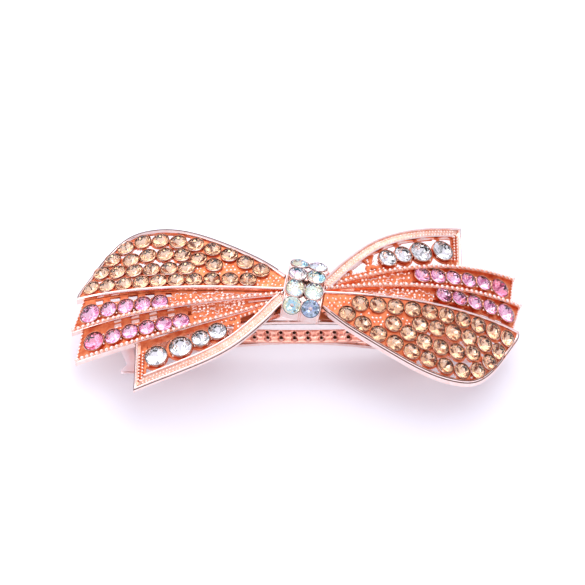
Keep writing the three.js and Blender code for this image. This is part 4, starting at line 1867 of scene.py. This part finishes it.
    def _prong(self, side: int, body: Body) -> None:
        """One leg of the catch: a bent sheet with a hook below and a finger tab that flares out.

        Args:
            side: -1 for the front, 1 for the back.
            body: The body that it rides on.
        """
        name = "prong_front" if side < 0 else "prong_rear"
        leg = Line([(2.9, 8.75), (2.9, 7.4), (3.0, 6.9), (4.2, 5.9), (6.2, 4.3), (7.5, 3.2), (7.95, 2.85),
                    (8.1, 3.2)])
        hook = Line([(2.9, 8.75), (2.9, 7.2), (2.4, 5.0), (1.9, 2.8), (1.9, 0.6), (2.0, 0.2), (2.4, 0.35),
                     (2.7, 0.6)])
        bm = bmesh.new()
        for line, spread in ((leg, self._tab_spread), (hook, lambda _share: (-36.1, -33.9))):
            points = line.even(40)
            stations = []
            for k, point in enumerate(points):
                along = (points[min(k + 1, 39)] - points[max(k - 1, 0)]).normalized()
                across = Vector((-along.y, along.x)) * 0.28
                low, high = spread(k / 39)
                corners = [(low, -1), (high, -1), (high, 1), (low, 1)]
                stations.append([Vector((x, self.y + side * (point.x + across.x * sign),
                                         point.y + across.y * sign))
                                 for x, sign in corners])
            sweep(bm, stations)
        outwards(bm)
        break_corners(bm, 0.9, 0.1)
        make_piece(f"{name}_sheet", bm, [self.finishes.tab], body, [name])


# ---- Studio -----------------------------------------------------------------------------------------------


@dataclass
class Studio:
    """The table, the lights and the camera."""

    bow_level: float
    azimuth: float = math.radians(-12.8)
    elevation: float = math.radians(55.0)
    roll: float = math.radians(10.65)
    distance: float = 0.6595
    lens: float = 190.1
    aim_right: float = 0.00256
    aim_up: float = 0.00062

    def build(self) -> None:
        """Makes the table, the lights, the world and the camera."""
        self._table()
        self._world()
        self._light("top_softbox", (0.1, 0.05, 0.95), (0.8, 0.5), 1.7, (1.0, 0.99, 0.99))
        self._light("back_softbox", (-0.1, 0.75, 0.55), (1.2, 0.5), 1.9, (1.0, 0.99, 0.98))
        self._light("left_softbox", (-0.8, -0.05, 0.4), (0.7, 0.5), 1.6, (1.0, 0.98, 0.97))
        self._card("camera_card", self._camera_place() + self._back() * 0.02, self._back(), (0.12, 0.12))
        self._card("back_card", Vector((0, 1.1, 0.06)), Vector((0, -1, 0)), (2.6, 0.12))
        self._camera()
        settings = bpy.context.scene.view_settings
        settings.view_transform = "Standard"
        settings.look = "None"

    def _table(self) -> None:
        """A wide pale table under the clip."""
        bm = bmesh.new()
        bmesh.ops.create_grid(bm, x_segments=1, y_segments=1, size=2.0)
        mesh = bpy.data.meshes.new("table")
        bm.to_mesh(mesh)
        bm.free()
        material, tree, shader = start_material("pale_table")
        place = add_node(tree, "ShaderNodeTexCoord").outputs["Object"]
        mottle = add_node(tree, "ShaderNodeTexNoise", Vector=place, Scale=3.0)
        tone = mix_colours(tree, mottle.outputs["Fac"], (0.90, 0.93, 0.97, 1), (0.92, 0.95, 0.99, 1))
        tree.links.new(tone, shader.inputs["Base Color"])
        shader.inputs["Roughness"].default_value = 0.9
        shader.inputs["Specular IOR Level"].default_value = 0.1
        shader.inputs["Emission Color"].default_value = (0.82, 0.86, 1.0, 1)
        shader.inputs["Emission Strength"].default_value = 0.1
        mesh.materials.append(material)
        table = bpy.data.objects.new("table", mesh)
        table.location.z = -0.0002
        bpy.context.scene.collection.objects.link(table)

    @staticmethod
    def _world() -> None:
        """Even, slightly lilac light from all round, as in a tent of white cloth."""
        world = bpy.data.worlds.new("studio")
        world.use_nodes = True
        background = world.node_tree.nodes["Background"]
        background.inputs["Color"].default_value = (0.93, 0.88, 1.0, 1)
        background.inputs["Strength"].default_value = 0.95
        bpy.context.scene.world = world

    @staticmethod
    def _light(name: str, place: tuple[float, float, float], size: Point2, glow: float,
               colour: Colour) -> None:
        """Adds a soft box that faces the clip.

        Args:
            name: The light's name.
            place: Where it is, in metres.
            size: Its width and height.
            glow: How bright its face is; a white table in full light glows at about 1.
            colour: Its colour.
        """
        light = bpy.data.lights.new(name, "AREA")
        light.shape = "RECTANGLE"
        light.size, light.size_y = size
        light.energy = glow * math.pi * size[0] * size[1]
        light.color = colour
        lamp = bpy.data.objects.new(name, light)
        lamp.location = place
        lamp.rotation_euler = (Vector((0, 0, 0.01)) - Vector(place)).to_track_quat("-Z", "Y").to_euler()
        bpy.context.scene.collection.objects.link(lamp)

    @staticmethod
    def _card(name: str, place: Vector, facing: Vector, size: Point2) -> None:
        """Stands a black card, whose reflection draws the dark lines in the metal and the stones.

        Args:
            name: The card's name.
            place: Its middle, in metres.
            facing: The way that it faces.
            size: Its width and height.
        """
        bm = bmesh.new()
        bmesh.ops.create_grid(bm, x_segments=1, y_segments=1, size=0.5)
        bmesh.ops.scale(bm, vec=(size[0], size[1], 1), verts=bm.verts)
        mesh = bpy.data.meshes.new(name)
        bm.to_mesh(mesh)
        bm.free()
        material, tree, shader = start_material(f"{name}_black")
        place_of = add_node(tree, "ShaderNodeTexCoord").outputs["Object"]
        felt = add_node(tree, "ShaderNodeTexNoise", Vector=place_of, Scale=60.0)
        tone = add_node(tree, "ShaderNodeMapRange", Value=felt.outputs["Fac"], To_Min=0.01, To_Max=0.03)
        tree.links.new(tone.outputs["Result"], shader.inputs["Base Color"])
        shader.inputs["Roughness"].default_value = 1.0
        mesh.materials.append(material)
        card = bpy.data.objects.new(name, mesh)
        card.matrix_world = Matrix.Translation(place) @ facing.to_track_quat("Z", "Y").to_matrix().to_4x4()
        bpy.context.scene.collection.objects.link(card)

    def _back(self) -> Vector:
        """From the clip towards the camera."""
        level = math.cos(self.elevation)
        return Vector((math.sin(self.azimuth) * level, -math.cos(self.azimuth) * level,
                       math.sin(self.elevation)))

    def _camera_axes(self) -> tuple[Vector, Vector]:
        """The camera's right and up, tipped by its roll.

        Returns:
            The two directions.
        """
        right = Vector((math.cos(self.azimuth), math.sin(self.azimuth), 0))
        up = self._back().cross(right)
        return (right * math.cos(self.roll) + up * math.sin(self.roll),
                up * math.cos(self.roll) - right * math.sin(self.roll))

    def _camera_place(self) -> Vector:
        """Where the camera stands.

        Returns:
            The place, in metres.
        """
        tipped_right, tipped_up = self._camera_axes()
        target = Vector((0, 0, self.bow_level * MM))
        return target + self._back() * self.distance - tipped_right * self.aim_right - tipped_up * self.aim_up

    def _camera(self) -> None:
        """The camera, tipped a little to one side."""
        tipped_right, tipped_up = self._camera_axes()
        data = bpy.data.cameras.new("camera")
        data.lens = self.lens
        data.sensor_width = 36.0
        data.clip_start, data.clip_end = 0.05, 10.0
        camera = bpy.data.objects.new("camera", data)
        axes = Matrix((tipped_right, tipped_up, self._back())).transposed().to_4x4()
        camera.matrix_world = Matrix.Translation(self._camera_place()) @ axes
        bpy.context.scene.collection.objects.link(camera)
        bpy.context.scene.camera = camera


# ---- Assembly ---------------------------------------------------------------------------------------------

BAND_OVER_BOW = 1.9  # the top of the knot band stands this far over the stones beside it


def main() -> None:
    """Builds the clip and its studio, in order."""
    logging.basicConfig(level=logging.INFO, format="%(message)s")
    bow_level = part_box("knot_band")[1].z / MM - BAND_OVER_BOW
    wing = WingShape(bow_level)
    finishes = Finishes()
    jeweller = Jeweller(Cut().build("cut_stone"), grain_template("grain"), scallop_template("scallop"))
    Loop(wing, finishes, jeweller).build()
    Streamer("inner_streamer", wing, finishes, jeweller, wing.inner_streamer_z, wing.ridge_y,
             wing.inner_bead_y,
             (4.6, 46.5), (4.8, 49.1), [f"inner_pink_stone_{k}" for k in range(1, 6)], 0.55,
             [(28.2, 29.4, 0.08, 0.3), (31.7, 33.7, 0.05, 0.27), (35.2, 37.2, 0.05, 0.26),
              (38.9, 41.0, 0.05, 0.25),
              (42.4, 44.0, 0.05, 0.22)],
             [(9.5, 12.5, 0.35), (15.0, 17.4, 0.3), (19.0, 21.8, 0.25), (8.0, 11.0, 0.7)],
             [(0.25, 17.5), (0.5, 12.5), (0.72, 17.0)]).build()
    Streamer("outer_streamer", wing, finishes, jeweller, wing.outer_streamer_z, wing.inner_bead_y,
             wing.outer_bead_y,
             (4.9, 47.0), (5.0, 48.5), [f"outer_pink_stone_{k}" for k in range(1, 7)], 0.5,
             [(24.2, 25.0, 0.1, 0.34), (27.6, 29.2, 0.06, 0.24), (31.3, 33.0, 0.05, 0.22),
              (35.0, 36.8, 0.05, 0.2),
              (38.8, 40.4, 0.04, 0.18)],
             [(7.0, 12.0, 0.1)], [(0.28, 14.0), (0.8, 12.0), (0.5, 13.4), (0.12, 13.0)],
             [(8.0, 13.2, 0.5, 0.32), (14.4, 15.8, 0.52, 0.45), (17.9, 19.5, 0.48, 0.45),
              (20.9, 22.6, 0.46, 0.45), (27.7, 29.1, 0.14, 0.5), (31.4, 32.9, 0.13, 0.5),
              (35.1, 36.7, 0.12, 0.5),
              (38.9, 40.3, 0.11, 0.5)]).build()
    Tail(wing, finishes, jeweller).build()
    Knot(finishes, jeweller, bow_level).build()
    Clasp(finishes, bow_level).build()
    Studio(bow_level).build()
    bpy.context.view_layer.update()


if __name__ == "__main__":
    main()
